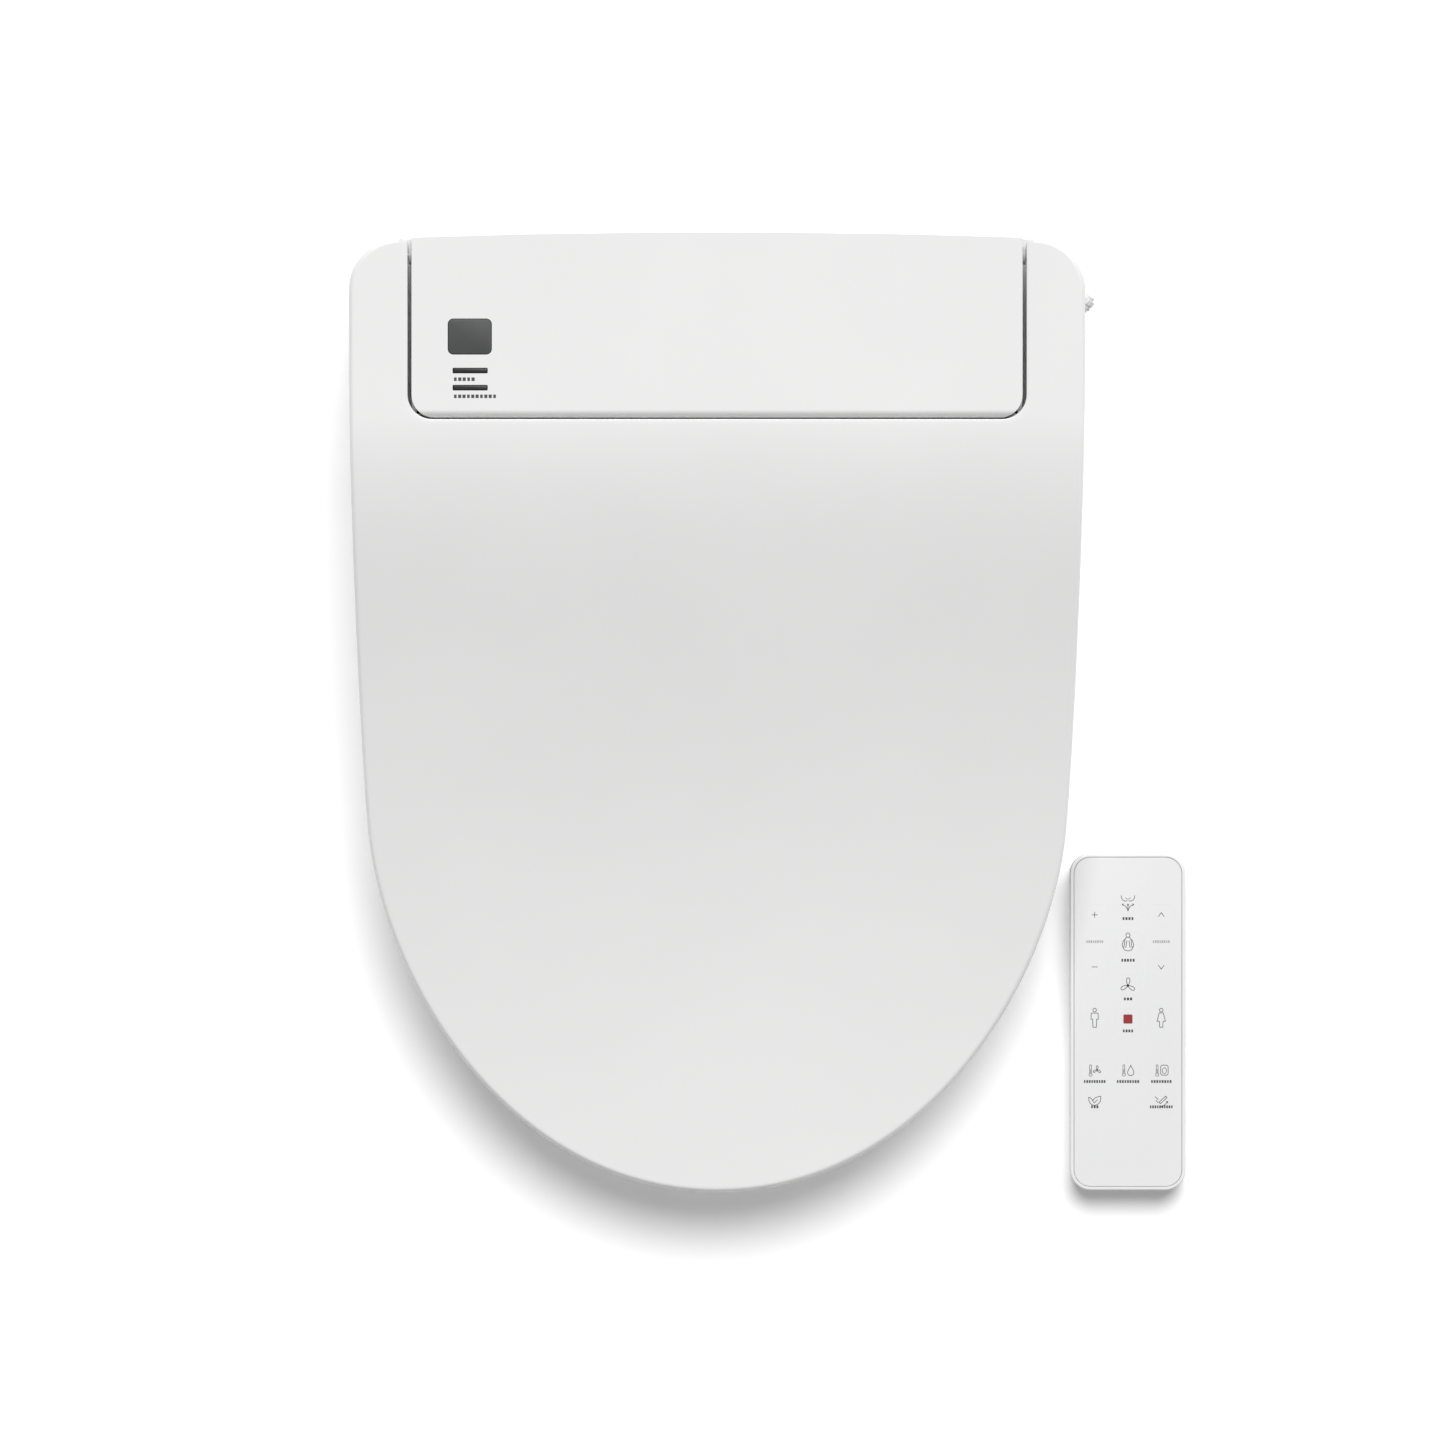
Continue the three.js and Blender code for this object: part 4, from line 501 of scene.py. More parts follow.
def make_pads():
    """Soft bumpers under the lid, each in a moulded boss."""
    for side in ("left", "right"):
        low, high = box_mm(f"lid_pad_{side}")
        x, y = (low.x + high.x) / 2, (low.y + high.y) / 2
        reach = high.x - low.x
        pad = [(0, reach * 0.36), (0.5, reach * 0.44), (1.4, reach * 0.49), (2.2, reach * 0.5),
               (8.2, reach * 0.5), (8.4, reach * 0.2), (high.z - low.z, reach * 0.2)]
        verts, faces = lathe((x, y, low.z), (0, 0, 1), pad, 40)
        piece = new_piece(f"bumper_{side}", verts, faces, "lid", "rubber_grey", RUBBER)
        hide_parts(f"lid_pad_{side}")
        under = float(lid_top(x, y)) - WALL
        start = low.z + 8.8
        boss = [(0, 6.6), (0.3, 7.1), (0.9, 7.4), (under + 0.6 - start, 7.6)]
        verts, faces = lathe((x, y, start), (0, 0, 1), boss, 40)
        new_piece(f"bumper_boss_{side}", verts, faces, "lid", "white_gloss", WHITE)


make_pads()


# ---------------------------------------------------------------- the seat ring
OUTER_ROUND, HOLE_ROUND = 8.0, 11.0
LIP_WIDTH, LIP_HEIGHT = 2.5, 3.0
FLOOR_EDGE = 0.6
TOP_DIP, HOLE_DROP = 1.4, 1.6
STEP_ANGLE = 0.0004


def seat_top(y):
    """Height of the ring's top along the seat."""
    side = bezier((-SEAT_REAR, SEAT_REAR_TOP), (-NOSE * 0.4, SEAT_REAR_TOP),
                  (-NOSE * 0.55, SEAT_NOSE_TOP), (-NOSE - 5, SEAT_NOSE_TOP), 120)
    side = np.array(side)[::-1]
    return np.interp(y, side[:, 0], side[:, 1])


def by_angle(points, centre, angles):
    """The points of a star-shaped outline at these angles round a centre."""
    p = np.array(points) - np.array(centre)
    a = np.unwrap(np.arctan2(p[:, 1], p[:, 0]))
    if a[-1] < a[0]:
        p, a = p[::-1], a[::-1]
    a0 = a[0]
    wrapped = (angles - a0) % (2 * math.pi) + a0
    x = np.interp(wrapped, np.append(a, a0 + 2 * math.pi), np.append(p[:, 0], p[0, 0]))
    y = np.interp(wrapped, np.append(a, a0 + 2 * math.pi), np.append(p[:, 1], p[0, 1]))
    return np.stack([x + centre[0], y + centre[1]], 1)


def seat_outlines():
    """The ring's outer outline, with rounded rear corners, and its opening."""
    inset = 4.0
    side = [(x, y) for x, y in right_side(inset) if y < -SEAT_REAR - 10]
    edge_x = side[0][0] + 0.4
    corner = arc(edge_x - 10, -SEAT_REAR - 10, 10, 90, 0, 10)
    half = corner + side
    outer = half + [(-x, y) for x, y in half[::-1]][1:]
    reach = HALF * 0.541
    rear, front, waist = HOLE_REAR, -NOSE * 0.875, -NOSE * 0.53
    hole = bezier((0, rear), (reach * 0.6, rear), (reach, rear + (waist - rear) * 0.4), (reach, waist), 60)
    hole += bezier((reach, waist), (reach, waist + (front - waist) * 0.55),
                   (reach * 0.56, front), (0, front), 60)[1:]
    hole += [(-x, y) for x, y in hole[::-1]][1:-1]
    return even(outer, 3.0), hole


def ring_surface():
    """The ring as closed bands of points that run from its outer lip over the top to its hole."""
    outer_line, hole_line = seat_outlines()
    jumps = []
    for y in (-SEAT_REAR, HOLE_REAR):
        for x in (BRIDGE_HALF, -BRIDGE_HALF):
            mid = math.atan2(y - SEAT_CENTRE[1], x)
            jumps += [mid - STEP_ANGLE, mid + STEP_ANGLE]
    angles = np.sort(np.append(np.linspace(-math.pi, math.pi, 361)[:-1], jumps))
    outer = by_angle(outer_line, SEAT_CENTRE, angles)
    hole = by_angle(hole_line, SEAT_CENTRE, angles)
    way = hole - outer
    width = np.linalg.norm(way, axis=1)
    way /= width[:, None]
    bridge = (np.abs(outer[:, 0]) < BRIDGE_HALF) & (outer[:, 1] > BRIDGE_FRONT)
    hole_bridge = (np.abs(hole[:, 0]) < BRIDGE_HALF) & (hole[:, 1] > BRIDGE_FRONT)
    outer_floor = np.where(bridge, BRIDGE_FLOOR, SEAT_FLOOR)
    hole_floor = np.where(hole_bridge, BRIDGE_FLOOR, SEAT_FLOOR)
    rows = []

    def row(line, shift, heights):
        where = line + way * shift
        rows.append(np.column_stack([where, heights]))

    row(outer, LIP_WIDTH, outer_floor + LIP_HEIGHT)
    row(outer, LIP_WIDTH, outer_floor)
    row(outer, FLOOR_EDGE, outer_floor)
    row(outer, 0.0, outer_floor + FLOOR_EDGE)
    for share in (0.3, 0.7):
        rim = seat_top(outer[:, 1]) - OUTER_ROUND
        row(outer, 0.0, outer_floor + (rim - outer_floor) * share)
    for inset, height in edge_steps(OUTER_ROUND, 0.0, True, 9):
        where = outer + way * inset
        row(outer, inset, seat_top(where[:, 1]) + height)
    for share in np.linspace(0.1, 0.9, 9):
        reach = OUTER_ROUND + (width - OUTER_ROUND - HOLE_ROUND) * share
        where = outer + way * reach[:, None]
        dip = TOP_DIP * share ** 2
        rows.append(np.column_stack([where, seat_top(where[:, 1]) - dip]))
    for inset, height in edge_steps(HOLE_ROUND, 0.0, True, 10)[::-1]:
        where = hole - way * inset
        row(hole, -inset, seat_top(where[:, 1]) - HOLE_DROP + height)
    for share in (0.7, 0.3):
        rim = seat_top(hole[:, 1]) - HOLE_DROP - HOLE_ROUND
        row(hole, 0.0, hole_floor + (rim - hole_floor) * share)
    row(hole, 0.0, hole_floor + FLOOR_EDGE)
    row(hole, -FLOOR_EDGE, hole_floor)
    row(hole, -LIP_WIDTH, hole_floor)
    row(hole, -LIP_WIDTH, hole_floor + LIP_HEIGHT)
    count = len(angles)
    verts = [tuple(p) for r in rows for p in r]
    faces = []
    for k in range(len(rows)):
        following = (k + 1) % len(rows)
        for i in range(count):
            j = (i + 1) % count
            faces.append((k * count + i, k * count + j, following * count + j, following * count + i))
    return verts, faces


def make_seat():
    """The heated ring, with an arm and a hinge eye at each rear corner."""
    verts, faces = ring_surface()
    ring = new_piece("seat_ring_moulding", verts, faces, "seat_ring", "seat_white", SEAT_WHITE, 40)
    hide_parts("seat_top")
    inner, outer_x = NOTCH_HALF + WALL + 0.8, HALF - 6
    lobe = 5.2
    blade_rear, blade_front = HINGE_Y - 20, -82
    along = (blade_rear - SHOULDER_Y) * (SHOULDER_REAR_TOP - SHOULDER_FRONT_TOP)
    shoulder = SHOULDER_FRONT_TOP + along / (REAR - SHOULDER_Y)
    blade = [(blade_rear, shoulder + 7), (blade_rear, HINGE_Z + lobe), (blade_rear - 22, HINGE_Z + lobe),
             (-20, HINGE_Z - 12), (SHOULDER_Y, SEAT_REAR_TOP + 6), (blade_front, SEAT_REAR_TOP - 1),
             (blade_front, SEAT_REAR_TOP - 12), (-SEAT_REAR, SEAT_REAR_TOP - 12),
             (-SEAT_REAR, SHOULDER_FRONT_TOP + 3), (SHOULDER_Y, SHOULDER_FRONT_TOP + 4)]
    tongue = arc(HINGE_Y, HINGE_Z, lobe, -90, 90, 20)
    tongue += [(blade_rear - 4, HINGE_Z + lobe), (blade_rear - 4, HINGE_Z - lobe)]
    for side, name in ((-1, "left"), (1, "right")):
        verts, faces = prism_x(blade, side * inner, side * outer_x)
        arm = new_piece(f"seat_arm_{name}", verts, faces, "seat_ring", "seat_white", SEAT_WHITE)
        bevelled(arm, 1.6, 4, 20)
        verts, faces = prism_x(tongue, side * inner, side * (NOTCH_HALF + 9.8))
        eye = new_piece(f"seat_eye_{name}", verts, faces, "seat_ring", "seat_white", SEAT_WHITE)
        bevelled(eye, 0.6, 3, 40)


make_seat()


def make_feet():
    """Rubber feet with a soft lower edge and a groove."""
    for k in range(1, 5):
        low, high = box_mm(f"seat_foot_{k}")
        x, y = (low.x + high.x) / 2, (low.y + high.y) / 2
        r = (high.x - low.x) / 2
        profile = [(0, r - 2.2), (0.3, r - 1.2), (1.0, r - 0.4), (1.9, r), (4.4, r), (4.7, r - 0.5),
                   (5.3, r - 0.5), (5.6, r), (7.3, r), (7.7, r - 0.4), (7.75, 3), (high.z - low.z, 3)]
        verts, faces = lathe((x, y, low.z), (0, 0, 1), profile, 48)
        foot = new_piece(f"rubber_foot_{k}", verts, faces, "seat_ring", "rubber_grey", RUBBER)
        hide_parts(f"seat_foot_{k}")


make_feet()


# ---------------------------------------------------------------- panel window and lights
def make_lenses():
    """The dark window and the two light bars, set in the panel with fine rounded edges."""
    for node, name, look, slot in (
            ("signal_window", "receiver_window", DARK_PANEL, "smoked_lens"),
            ("power_light", "power_bar", BLACK, "black_gloss"),
            ("saver_light", "saver_bar", BLACK, "black_gloss")):
        low, high = box_mm(node)
        width, height = high.x - low.x - 3, high.y - low.y - 3
        radius = 2.7 if height > 10 else 0.5
        outline = rounded_rect((low.x + high.x) / 2, (low.y + high.y) / 2, width, height, radius)
        profile = [(0, low.z)] + edge_steps(0.25, high.z, True, 3)
        verts, faces = stacked(outline, profile)
        lens = new_piece(name, verts, faces, "housing", slot, look)
        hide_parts(node)


make_lenses()


# ---------------------------------------------------------------- hinge collars and water inlet
def make_collars():
    """The stepped collars on the hinge line."""
    for side, name in ((-1, "left"), (1, "right")):
        low, high = box_mm(f"hinge_collar_{name}")
        start = high.x if side < 0 else low.x
        length = high.x - low.x
        profile = [(0, 4.2), (length - 1.5, 4.2), (length - 1.5, 4.6), (length - 1.3, 4.8),
                   (length - 0.2, 4.8), (length, 4.5)]
        verts, faces = lathe((start, HINGE_Y, HINGE_Z), (side, 0, 0), profile, 40)
        collar = new_piece(f"pivot_collar_{name}", verts, faces, "housing", "grey_plastic", GREY)
        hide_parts(f"hinge_collar_{name}")


make_collars()


INLET_LEAN = 40.0
INLET_INSET, INLET_Y, INLET_Z = 5.2, 24.5, 34.0


def make_inlet():
    """The ribbed swivel nut on the leaning water inlet."""
    lean = math.radians(INLET_LEAN)
    axis = (math.sin(lean), math.cos(lean), 0)
    start = (HALF - INLET_INSET, INLET_Y, INLET_Z)
    nut = [(6.8, 4.1), (6.8, 4.9), (7.1, 5.2), (8.5, 5.2), (8.7, 4.5), (9.1, 4.5), (9.3, 5.2),
           (11.9, 5.2), (12.3, 4.9), (12.5, 4.1)]
    verts, faces = lathe(start, axis, nut, 96, lambda a, k: 1 - 0.03 * (math.cos(16 * a) > 0.4) * (1 < k < 9))
    piece = new_piece("swivel_nut", verts, faces, "housing", "white_gloss", GREY)
    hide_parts("inlet_nut")


make_inlet()


# ---------------------------------------------------------------- the remote
REMOTE_WIDTH = remote_high.x - remote_low.x
REMOTE_LENGTH = remote_high.y - remote_low.y
REMOTE_CORNER = 11.0
REMOTE_WALL = 1.8
REMOTE_EDGE = 1.6
RIM_WIDTH = 1.9
SEAM = 0.3
PAST = 9


def remote_outline(inset):
    """The remote's plan, drawn in by an inset."""
    return rounded_rect(REMOTE_X, REMOTE_Y, REMOTE_WIDTH - 2 * inset, REMOTE_LENGTH - 2 * inset,
                        REMOTE_CORNER - inset, 20)


def box_part(x0, x1, y0, y1, z0, z1):
    """A plain box."""
    verts = [(x, y, z) for z in (z0, z1) for x, y in ((x0, y0), (x1, y0), (x1, y1), (x0, y1))]
    faces = [(0, 3, 2, 1), (4, 5, 6, 7), (0, 1, 5, 4), (1, 2, 6, 5), (2, 3, 7, 6), (3, 0, 4, 7)]
    return verts, faces


def ring_walls(outline, profile):
    """A closed band: rings (inset, height) joined in a loop."""
    base, normals = np.array(outline), inward(outline)
    count = len(base)
    verts, faces = [], []
    for inset, height in profile:
        verts += [(x, y, height) for x, y in base + normals * inset]
    for k in range(len(profile)):
        following = (k + 1) % len(profile)
        for i in range(count):
            j = (i + 1) % count
            faces.append((k * count + i, k * count + j, following * count + j, following * count + i))
    return verts, faces


def make_remote_case():
    """The remote's tub, end strip, rim and sliding battery cover."""
    tub_top = box_mm("remote_back")[1].z
    window_low = box_mm("remote_window")[0]
    door_low, door_high = box_mm("battery_door")
    whole = remote_outline(0)
    tub = stacked(whole, edge_steps(REMOTE_EDGE, 0, False, 6) + [
        (0, tub_top * 0.5), (0, tub_top - 0.2), (0.2, tub_top), (REMOTE_WALL, tub_top),
        (REMOTE_WALL, REMOTE_WALL)])
    back = new_piece("remote_tub", *tub, "remote", "silver_satin", SILVER)
    cut(back, [
        box_part(door_low.x - SEAM, door_high.x + SEAM, remote_low.y - PAST, door_high.y + SEAM, -1, 1.95),
        box_part(remote_low.x - PAST, remote_high.x + PAST, window_low.y - SEAM, remote_high.y + PAST,
                 window_low.z - SEAM, tub_top + 1)])
    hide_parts("remote_back")
    strip = ring_walls(whole, [(0.05, window_low.z), (0.05, tub_top), (REMOTE_WALL, tub_top),
                               (REMOTE_WALL, window_low.z)])
    window = new_piece("remote_lens", *strip, "remote", "black_gloss", BLACK)
    cut(window, [box_part(remote_low.x - PAST, remote_high.x + PAST, remote_low.y - PAST, window_low.y,
                          -1, 30)])
    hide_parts("remote_window")
    base = tub_top + SEAM
    rim = ring_walls(whole, [(0.15, base), (0, base + 0.15)] + edge_steps(0.7, REMOTE_TOP, True, 6)
                     + [(1.75, REMOTE_TOP), (RIM_WIDTH, REMOTE_TOP - 0.15), (RIM_WIDTH, REMOTE_TOP - 1.7),
                        (RIM_WIDTH, base)])
    bezel = new_piece("remote_rim", *rim, "remote", "white_gloss", WHITE)
    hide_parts("remote_bezel")
    cover = stacked(whole, edge_steps(REMOTE_EDGE, 0, False, 6) + [(0, REMOTE_WALL)])
    door = new_piece("battery_cover_moulding", *cover, "battery_cover", "silver_satin", SILVER)
    far = 400
    cut(door, [box_part(-far, door_low.x, -far * 2, far, -1, 5)])
    cut(door, [box_part(door_high.x, far, -far * 2, far, -1, 5)])
    cut(door, [box_part(-far, far, door_high.y, far, -1, 5)])
    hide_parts("battery_door")


make_remote_case()

KEY_CLEAR = 0.015
key_nodes = sorted(name for name in nodes if name.startswith("key_"))
KEY_WIDTH, KEY_DEPTH = 13.6, 10.6
KEY_GROW = 0.25
INK_LIFT = 0.03
INK_DEPTH = 0.12
FACE_TOP = REMOTE_TOP - 0.2


def key_centre(name):
    """Middle of a key in plan."""
    low, high = box_mm(name)
    return (low.x + high.x) / 2, (low.y + high.y) / 2


def make_face():
    """The face plate with a hole for each key, and the keys' caps."""
    outline = remote_outline(2.1)
    plate = stacked(outline, [(0, REMOTE_TOP - 1.4), (0, FACE_TOP - 0.12), (0.12, FACE_TOP)])
    face = new_piece("remote_face_plate", *plate, "remote", "face_grey", FACE)
    holes = []
    for name in key_nodes:
        x, y = key_centre(name)
        grow = 2 * (KEY_GROW + KEY_CLEAR)
        grown = rounded_rect(x, y, KEY_WIDTH + grow, KEY_DEPTH + grow, 2.3, 6)
        holes.append(stacked(grown, [(0, REMOTE_TOP - 3), (0, REMOTE_TOP + 1)]))
    cut(face, holes)
    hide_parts("remote_face")
    for name in key_nodes:
        x, y = key_centre(name)
        cap = rounded_rect(x, y, KEY_WIDTH + 2 * KEY_GROW, KEY_DEPTH + 2 * KEY_GROW, 2.24, 6)
        verts, faces = stacked(cap, [(0, REMOTE_TOP - 2.2), (0, FACE_TOP)])
        piece = new_piece(name.replace("key_", "keycap_"), verts, faces, name, "face_grey", FACE)
        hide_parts(name)


make_face()


# ---------------------------------------------------------------- printed marks
def stroke(points, width, closed=False):
    """A flat line of one width through (x, y) points, as a thin closed band."""
    p = np.array(points, float)
    if closed:
        forward = np.roll(p, -1, 0) - p
        back = p - np.roll(p, 1, 0)
    else:
        forward = np.vstack([p[1:] - p[:-1], p[-1:] - p[-2:-1]])
        back = np.vstack([p[1:2] - p[:1], p[1:] - p[:-1]])
    forward /= np.linalg.norm(forward, axis=1)[:, None]
    back /= np.linalg.norm(back, axis=1)[:, None]
    mean = forward + back
    mean /= np.maximum(np.linalg.norm(mean, axis=1), 1e-6)[:, None]
    normal = np.stack([-mean[:, 1], mean[:, 0]], 1)
    stretch = 1 / np.maximum(np.sum(mean * forward, axis=1), 0.5)
    offset = normal * (width / 2 * stretch)[:, None]
    return p + offset, p - offset, closed


def band(strokes, z):
    """Closed thin solids of several strokes with their tops at height z."""
    verts, faces = [], []
    for left, right, closed in strokes:
        start, count = len(verts), len(left)
        for level in (z, z - INK_DEPTH):
            verts += [(x, y, level) for x, y in left]
            verts += [(x, y, level) for x, y in right]
        last = count if closed else count - 1
        for i in range(last):
            j = (i + 1) % count
            a, b, c, d = (start + i, start + j, start + count + j, start + count + i)
            e, f, g, h = (v + 2 * count for v in (a, b, c, d))
            faces += [(a, b, c, d), (h, g, f, e), (a, e, f, b), (d, c, g, h)]
        if not closed:
            s, t = start, start + count
            faces += [(s, t, t + 2 * count, s + 2 * count)]
            s, t = start + count - 1, start + 2 * count - 1
            faces += [(t, s, s + 2 * count, t + 2 * count)]
    return verts, faces


def ring_points(cx, cy, rx, ry, start=0, end=360, steps=24):
    """Points of an ellipse or of an arc of one, in degrees."""
    a = np.radians(np.linspace(start, end, steps + 1))
    points = np.stack([cx + rx * np.cos(a), cy + ry * np.sin(a)], 1)
    return points[:-1] if abs(end - start) == 360 else points


LINE = 0.36


def loop(cx, cy, rx, ry=None, width=LINE):
    """A closed circle or ellipse, as a stroke."""
    return stroke(ring_points(cx, cy, rx, ry or rx), width, True)


def line(*points, width=LINE):
    """Straight strokes from point to point."""
    return stroke(points, width)


def curve(p0, p1, p2, p3, width=LINE):
    """A cubic curve, as a stroke."""
    return stroke(bezier(p0, p1, p2, p3, 14), width)


def both(make):
    """A stroke maker called for the left and the right side."""
    return [make(-1), make(1)]


def petal(cx, cy, size, angle):
    """One fan blade's outline, turned by an angle in radians."""
    t = np.linspace(0, 2 * math.pi, 25)[:-1]
    r = size * (0.5 - 0.5 * np.cos(t))
    x = r * 0.98
    y = np.sin(t) * size * 0.3 * (0.35 + 0.65 * r / size) + 0.12 * r
    c, s = math.cos(angle), math.sin(angle)
    return stroke(np.stack([cx + c * x - s * y, cy + s * x + c * y], 1), LINE, True)


def thermometer(x):
    """A small thermometer standing at x."""
    bulb = ring_points(x, -2.3, 0.85, 0.85, 130, 410, 18)
    points = [(x + 0.45, 2.9)] + [(x - 0.45, 2.9)] + [tuple(q) for q in bulb] + [(x + 0.45, 2.9)]
    return [stroke(points, 0.3), line((x, 0.6), (x, -2.2), width=0.3)]


ICONS = {
    "rear_wash": both(lambda s: curve((s * 3.6, 4.4), (s * 3.7, 2.0), (s * 2.0, 1.0), (s * 0.3, 1.6)))
    + [curve((-1.3, 3.2), (-0.5, 2.2), (0.5, 2.2), (1.3, 3.2), 0.28)]
    + both(lambda s: curve((0, -4.0), (s * 0.3, -2.4), (s * 1.2, -1.0), (s * 2.9, -0.5)))
    + both(lambda s: line((s * 2.5, 0.1), (s * 3.1, -0.5), (s * 2.3, -1.0)))
    + [line((0, -4.0), (0, -0.2)), line((-0.6, -0.9), (0, -0.2), (0.6, -0.9))],
    "front_wash": [loop(0, 4.1, 1.05, 1.15)]
    + both(lambda s: curve((s * 0.5, 2.9), (s * 2.2, 2.4), (s * 1.4, 0.4), (s * 2.4, -3.0)))
    + both(lambda s: curve((s * 1.9, 1.9), (s * 3.2, -0.2), (s * 3.3, -1.8), (s * 2.5, -2.6)))
    + both(lambda s: curve((s * 0.7, 1.2), (s * 0.5, 0.0), (s * 1.1, -1.4), (s * 1.2, -2.8)))
    + [curve((-2.4, -3.0), (-1.8, -4.8), (1.8, -4.8), (2.4, -3.0))],
    "dry": [petal(0, 0, 4.2, math.radians(a)) for a in (80, 200, 320)] + [loop(0, 0, 0.5)],
    "pressure_up": [line((-1.6, 0), (1.6, 0)), line((0, -1.6), (0, 1.6))],
    "pressure_down": [line((-1.6, 0), (1.6, 0))],
    "position_up": [line((-1.6, -1.0), (0, 1.2), (1.6, -1.0))],
    "position_down": [line((-1.6, 1.0), (0, -1.2), (1.6, 1.0))],
    "user_one": [loop(0, 4.3, 0.95)]
    + [stroke([(-1.6, 2.7), (1.6, 2.7), (1.9, 2.3), (1.9, -0.6), (1.1, -0.6), (0.9, -4.9),
               (-0.9, -4.9), (-1.1, -0.6), (-1.9, -0.6), (-1.9, 2.3)], LINE, True)],
    "user_two": [loop(0, 4.3, 0.95)]
    + [stroke([(-1.1, 2.8), (1.1, 2.8), (2.0, -0.9), (2.3, -1.6), (1.0, -1.8), (0.8, -4.9),
               (-0.8, -4.9), (-1.0, -1.8), (-2.3, -1.6), (-2.0, -0.9)], LINE, True)],
    "dryer_heat": thermometer(-2.2) + [petal(1.3, 0.2, 2.3, math.radians(a)) for a in (80, 200, 320)],
    "water_heat": thermometer(-2.2)
    + [stroke(bezier((1.5, 2.8), (1.9, 1.3), (3.6, -0.4), (3.1, -1.7), 10)
              + bezier((3.1, -1.7), (2.6, -3.2), (0.4, -3.2), (-0.1, -1.7), 10)[1:]
              + bezier((-0.1, -1.7), (-0.6, -0.4), (1.1, 1.3), (1.5, 2.8), 10)[1:-1], LINE, True)],
    "seat_heat": thermometer(-2.2)
    + [stroke(rounded_rect(1.7, 0.1, 4.0, 5.4, 1.1, 5), LINE, True), loop(1.7, -0.2, 1.1, 1.6, 0.3)],
    "saver": [stroke(bezier((-3.2, 1.6), (-3.4, -1.8), (-1.2, -3.4), (1.2, -2.4), 12)
                     + bezier((1.2, -2.4), (3.4, -1.4), (3.4, 1.0), (3.2, 2.2), 12)[1:]
                     + bezier((3.2, 2.2), (0.4, 1.8), (-0.6, 0.8), (-1.0, -0.4), 12)[1:]
                     + bezier((-1.0, -0.4), (-1.6, 1.0), (-2.4, 1.6), (-3.2, 1.6), 8)[1:-1], LINE, True),
              line((-1.0, -0.6), (-0.2, -1.4), (1.6, 0.4), width=0.3)],
    "swing": [stroke([(-1.2, -1.0), (2.4, 2.2), (3.1, 1.4), (-0.5, -1.8)], LINE, True),
              line((-3.4, 2.0), (-1.6, 0.4)), line((-2.9, 0.0), (-1.6, -1.4)),
              curve((-0.2, -3.4), (1.4, -3.2), (2.8, -1.8), (3.4, -0.6)),
              line((2.5, -0.8), (3.4, -0.6), (3.5, -1.5))],
}


def shifted(strokes, x, y):
    """Strokes moved by x and y."""
    move = np.array([x, y])
    return [(left + move, right + move, closed) for left, right, closed in strokes]


def dashes(x, y, width, height, count):
    """A caption reduced to a row of small blank blocks."""
    pitch = width / count
    made = []
    for k in range(count):
        cx = x - width / 2 + pitch * (k + 0.5)
        half = pitch * (0.36 if k % 3 else 0.3)
        made.append(line((cx - half, y), (cx + half, y), width=height))
    return made


def make_marks():
    """Line drawings on the keys and the red square on the stop key."""
    for key, strokes in ICONS.items():
        x, y = key_centre(f"key_{key}")
        verts, faces = band(shifted(strokes, x, y), FACE_TOP + INK_LIFT)
        new_piece(f"mark_{key}", verts, faces, f"key_{key}", None, INK)
    x, y = key_centre("key_stop")
    square = rounded_rect(x, y, 4.9, 4.9, 0.5, 5)
    verts, faces = stacked(square, [(0, FACE_TOP - 0.1), (0, FACE_TOP + INK_LIFT)])
    new_piece("mark_stop", verts, faces, "key_stop", None, RED)


make_marks()


def make_captions():
    """Blank captions on the remote and beside the lights."""
    top = remote_high.y
    left, centre, right = (key_centre(n)[0] for n in ("key_pressure_up", "key_stop", "key_position_up"))
    dark, pale = [], []
    # column, distance below the remote's top end, width, number of blocks
    rows = (
        (centre, 35.0, 6.4, 4), (centre, 57.4, 7.6, 5), (centre, 78.2, 5.0, 3), (centre, 95.4, 6.0, 4),
        (left, 122.6, 12.0, 9), (centre, 122.6, 12.4, 9), (right, 122.6, 11.4, 8),
        (left, 136.2, 4.4, 3), (right, 136.2, 12.6, 10))
    for x, down, width, count in rows:
        dark += dashes(x, top - down, width, 1.5, count)
    for x in (left, right):
        pale += dashes(x, top - 47.4, 9.4, 1.4, 8)
    verts, faces = band(dark, FACE_TOP + INK_LIFT)
    new_piece("remote_captions", verts, faces, "remote", None, INK)
    verts, faces = band(pale, FACE_TOP + INK_LIFT)
    new_piece("remote_side_captions", verts, faces, "remote", None, PALE_INK)
    low, high = box_mm("power_light")
    edge = low.x + 1.5
    drop = 4.6
    y_power = (low.y + high.y) / 2 - drop
    low, high = box_mm("saver_light")
    y_saver = (low.y + high.y) / 2 - drop
    marks = dashes(edge + 5.9, y_power, 11.8, 1.9, 5) + dashes(edge + 11.6, y_saver, 23.2, 1.9, 10)
    verts, faces = band(marks, TOP + INK_LIFT)
    new_piece("panel_captions", verts, faces, "housing", None, INK)


make_captions()

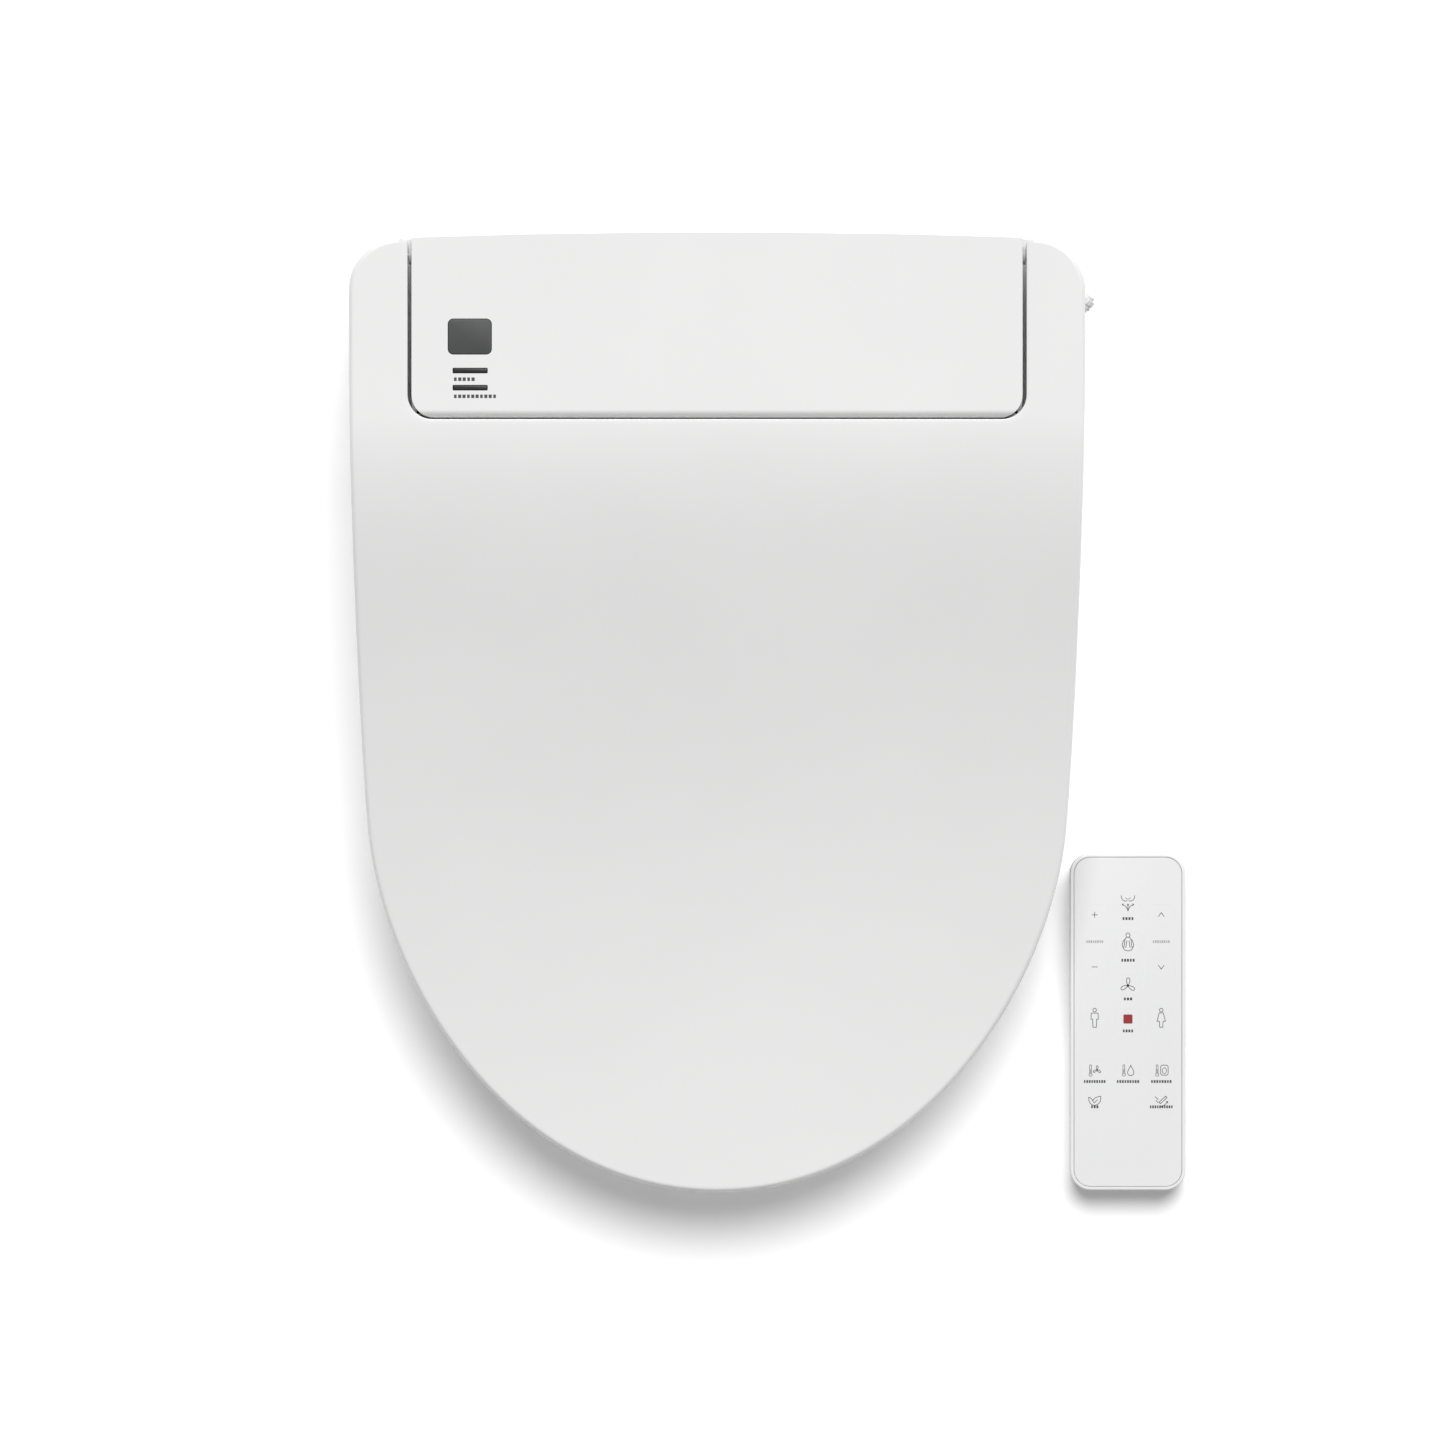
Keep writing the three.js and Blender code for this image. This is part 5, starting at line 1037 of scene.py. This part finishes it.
# ---------------------------------------------------------------- stage, light and camera
SKY_FRONT = 0.72
SKY_REAR = 1.9
KEY_POWER = 3.75
KEY_SPREAD = 44
FLOOR_GLOW = 0.27
FLOOR_REACH = 14.0
FLOOR_DROP = 0.0002
CAMERA_X, CAMERA_Y = 0.0029, -0.194
DISTANCE = 9.0
FRAME_WIDTH = 0.769
floor_mesh = bpy.data.meshes.new("studio_floor")
corners = ((-1, -1), (1, -1), (1, 1), (-1, 1))
floor_mesh.from_pydata([(x * FLOOR_REACH, y * FLOOR_REACH, -FLOOR_DROP) for x, y in corners],
                       [], [(0, 1, 2, 3)])
floor = bpy.data.objects.new("studio_floor", floor_mesh)
bpy.context.scene.collection.objects.link(floor)
paper = material("paper_floor", (0.93, 0.93, 0.93), 0.85, grain=120, relief=0.01, blotch=0.002)
glow = paper.node_tree.nodes["Principled BSDF"].inputs
glow["Emission Color"].default_value = (1, 1, 1, 1)
glow["Emission Strength"].default_value = FLOOR_GLOW
floor.data.materials.append(paper)

world = bpy.data.worlds.new("studio")
world.use_nodes = True
sky = world.node_tree
ways = sky.nodes.new("ShaderNodeTexCoord")
toward = sky.nodes.new("ShaderNodeVectorMath")
toward.operation = "DOT_PRODUCT"
toward.inputs[1].default_value = (0.25, 0.92, 0.3)
sky.links.new(ways.outputs["Generated"], toward.inputs[0])
level = sky.nodes.new("ShaderNodeMapRange")
level.inputs["From Min"].default_value = -0.7
level.inputs["From Max"].default_value = 1.0
level.inputs["To Min"].default_value = SKY_FRONT
level.inputs["To Max"].default_value = SKY_REAR
sky.links.new(toward.outputs["Value"], level.inputs["Value"])
sky.links.new(level.outputs["Result"], sky.nodes["Background"].inputs["Strength"])
bpy.context.scene.world = world

key_data = bpy.data.lights.new("key_light", "SUN")
key_data.energy = KEY_POWER
key_data.angle = math.radians(KEY_SPREAD)
key = bpy.data.objects.new("key_light", key_data)
bpy.context.scene.collection.objects.link(key)
key.rotation_euler = Vector((0.1, 0.62, 1.0)).to_track_quat("Z", "Y").to_euler()

camera_data = bpy.data.cameras.new("camera")
camera_data.sensor_width = 36.0
camera_data.lens = camera_data.sensor_width * (DISTANCE - TOP * MM) / FRAME_WIDTH
camera_data.clip_end = 100.0
camera = bpy.data.objects.new("camera", camera_data)
bpy.context.scene.collection.objects.link(camera)
camera.location = (CAMERA_X, CAMERA_Y, DISTANCE)
camera.rotation_euler = (0, 0, 0)
bpy.context.scene.camera = camera
bpy.context.scene.view_settings.view_transform = "Standard"
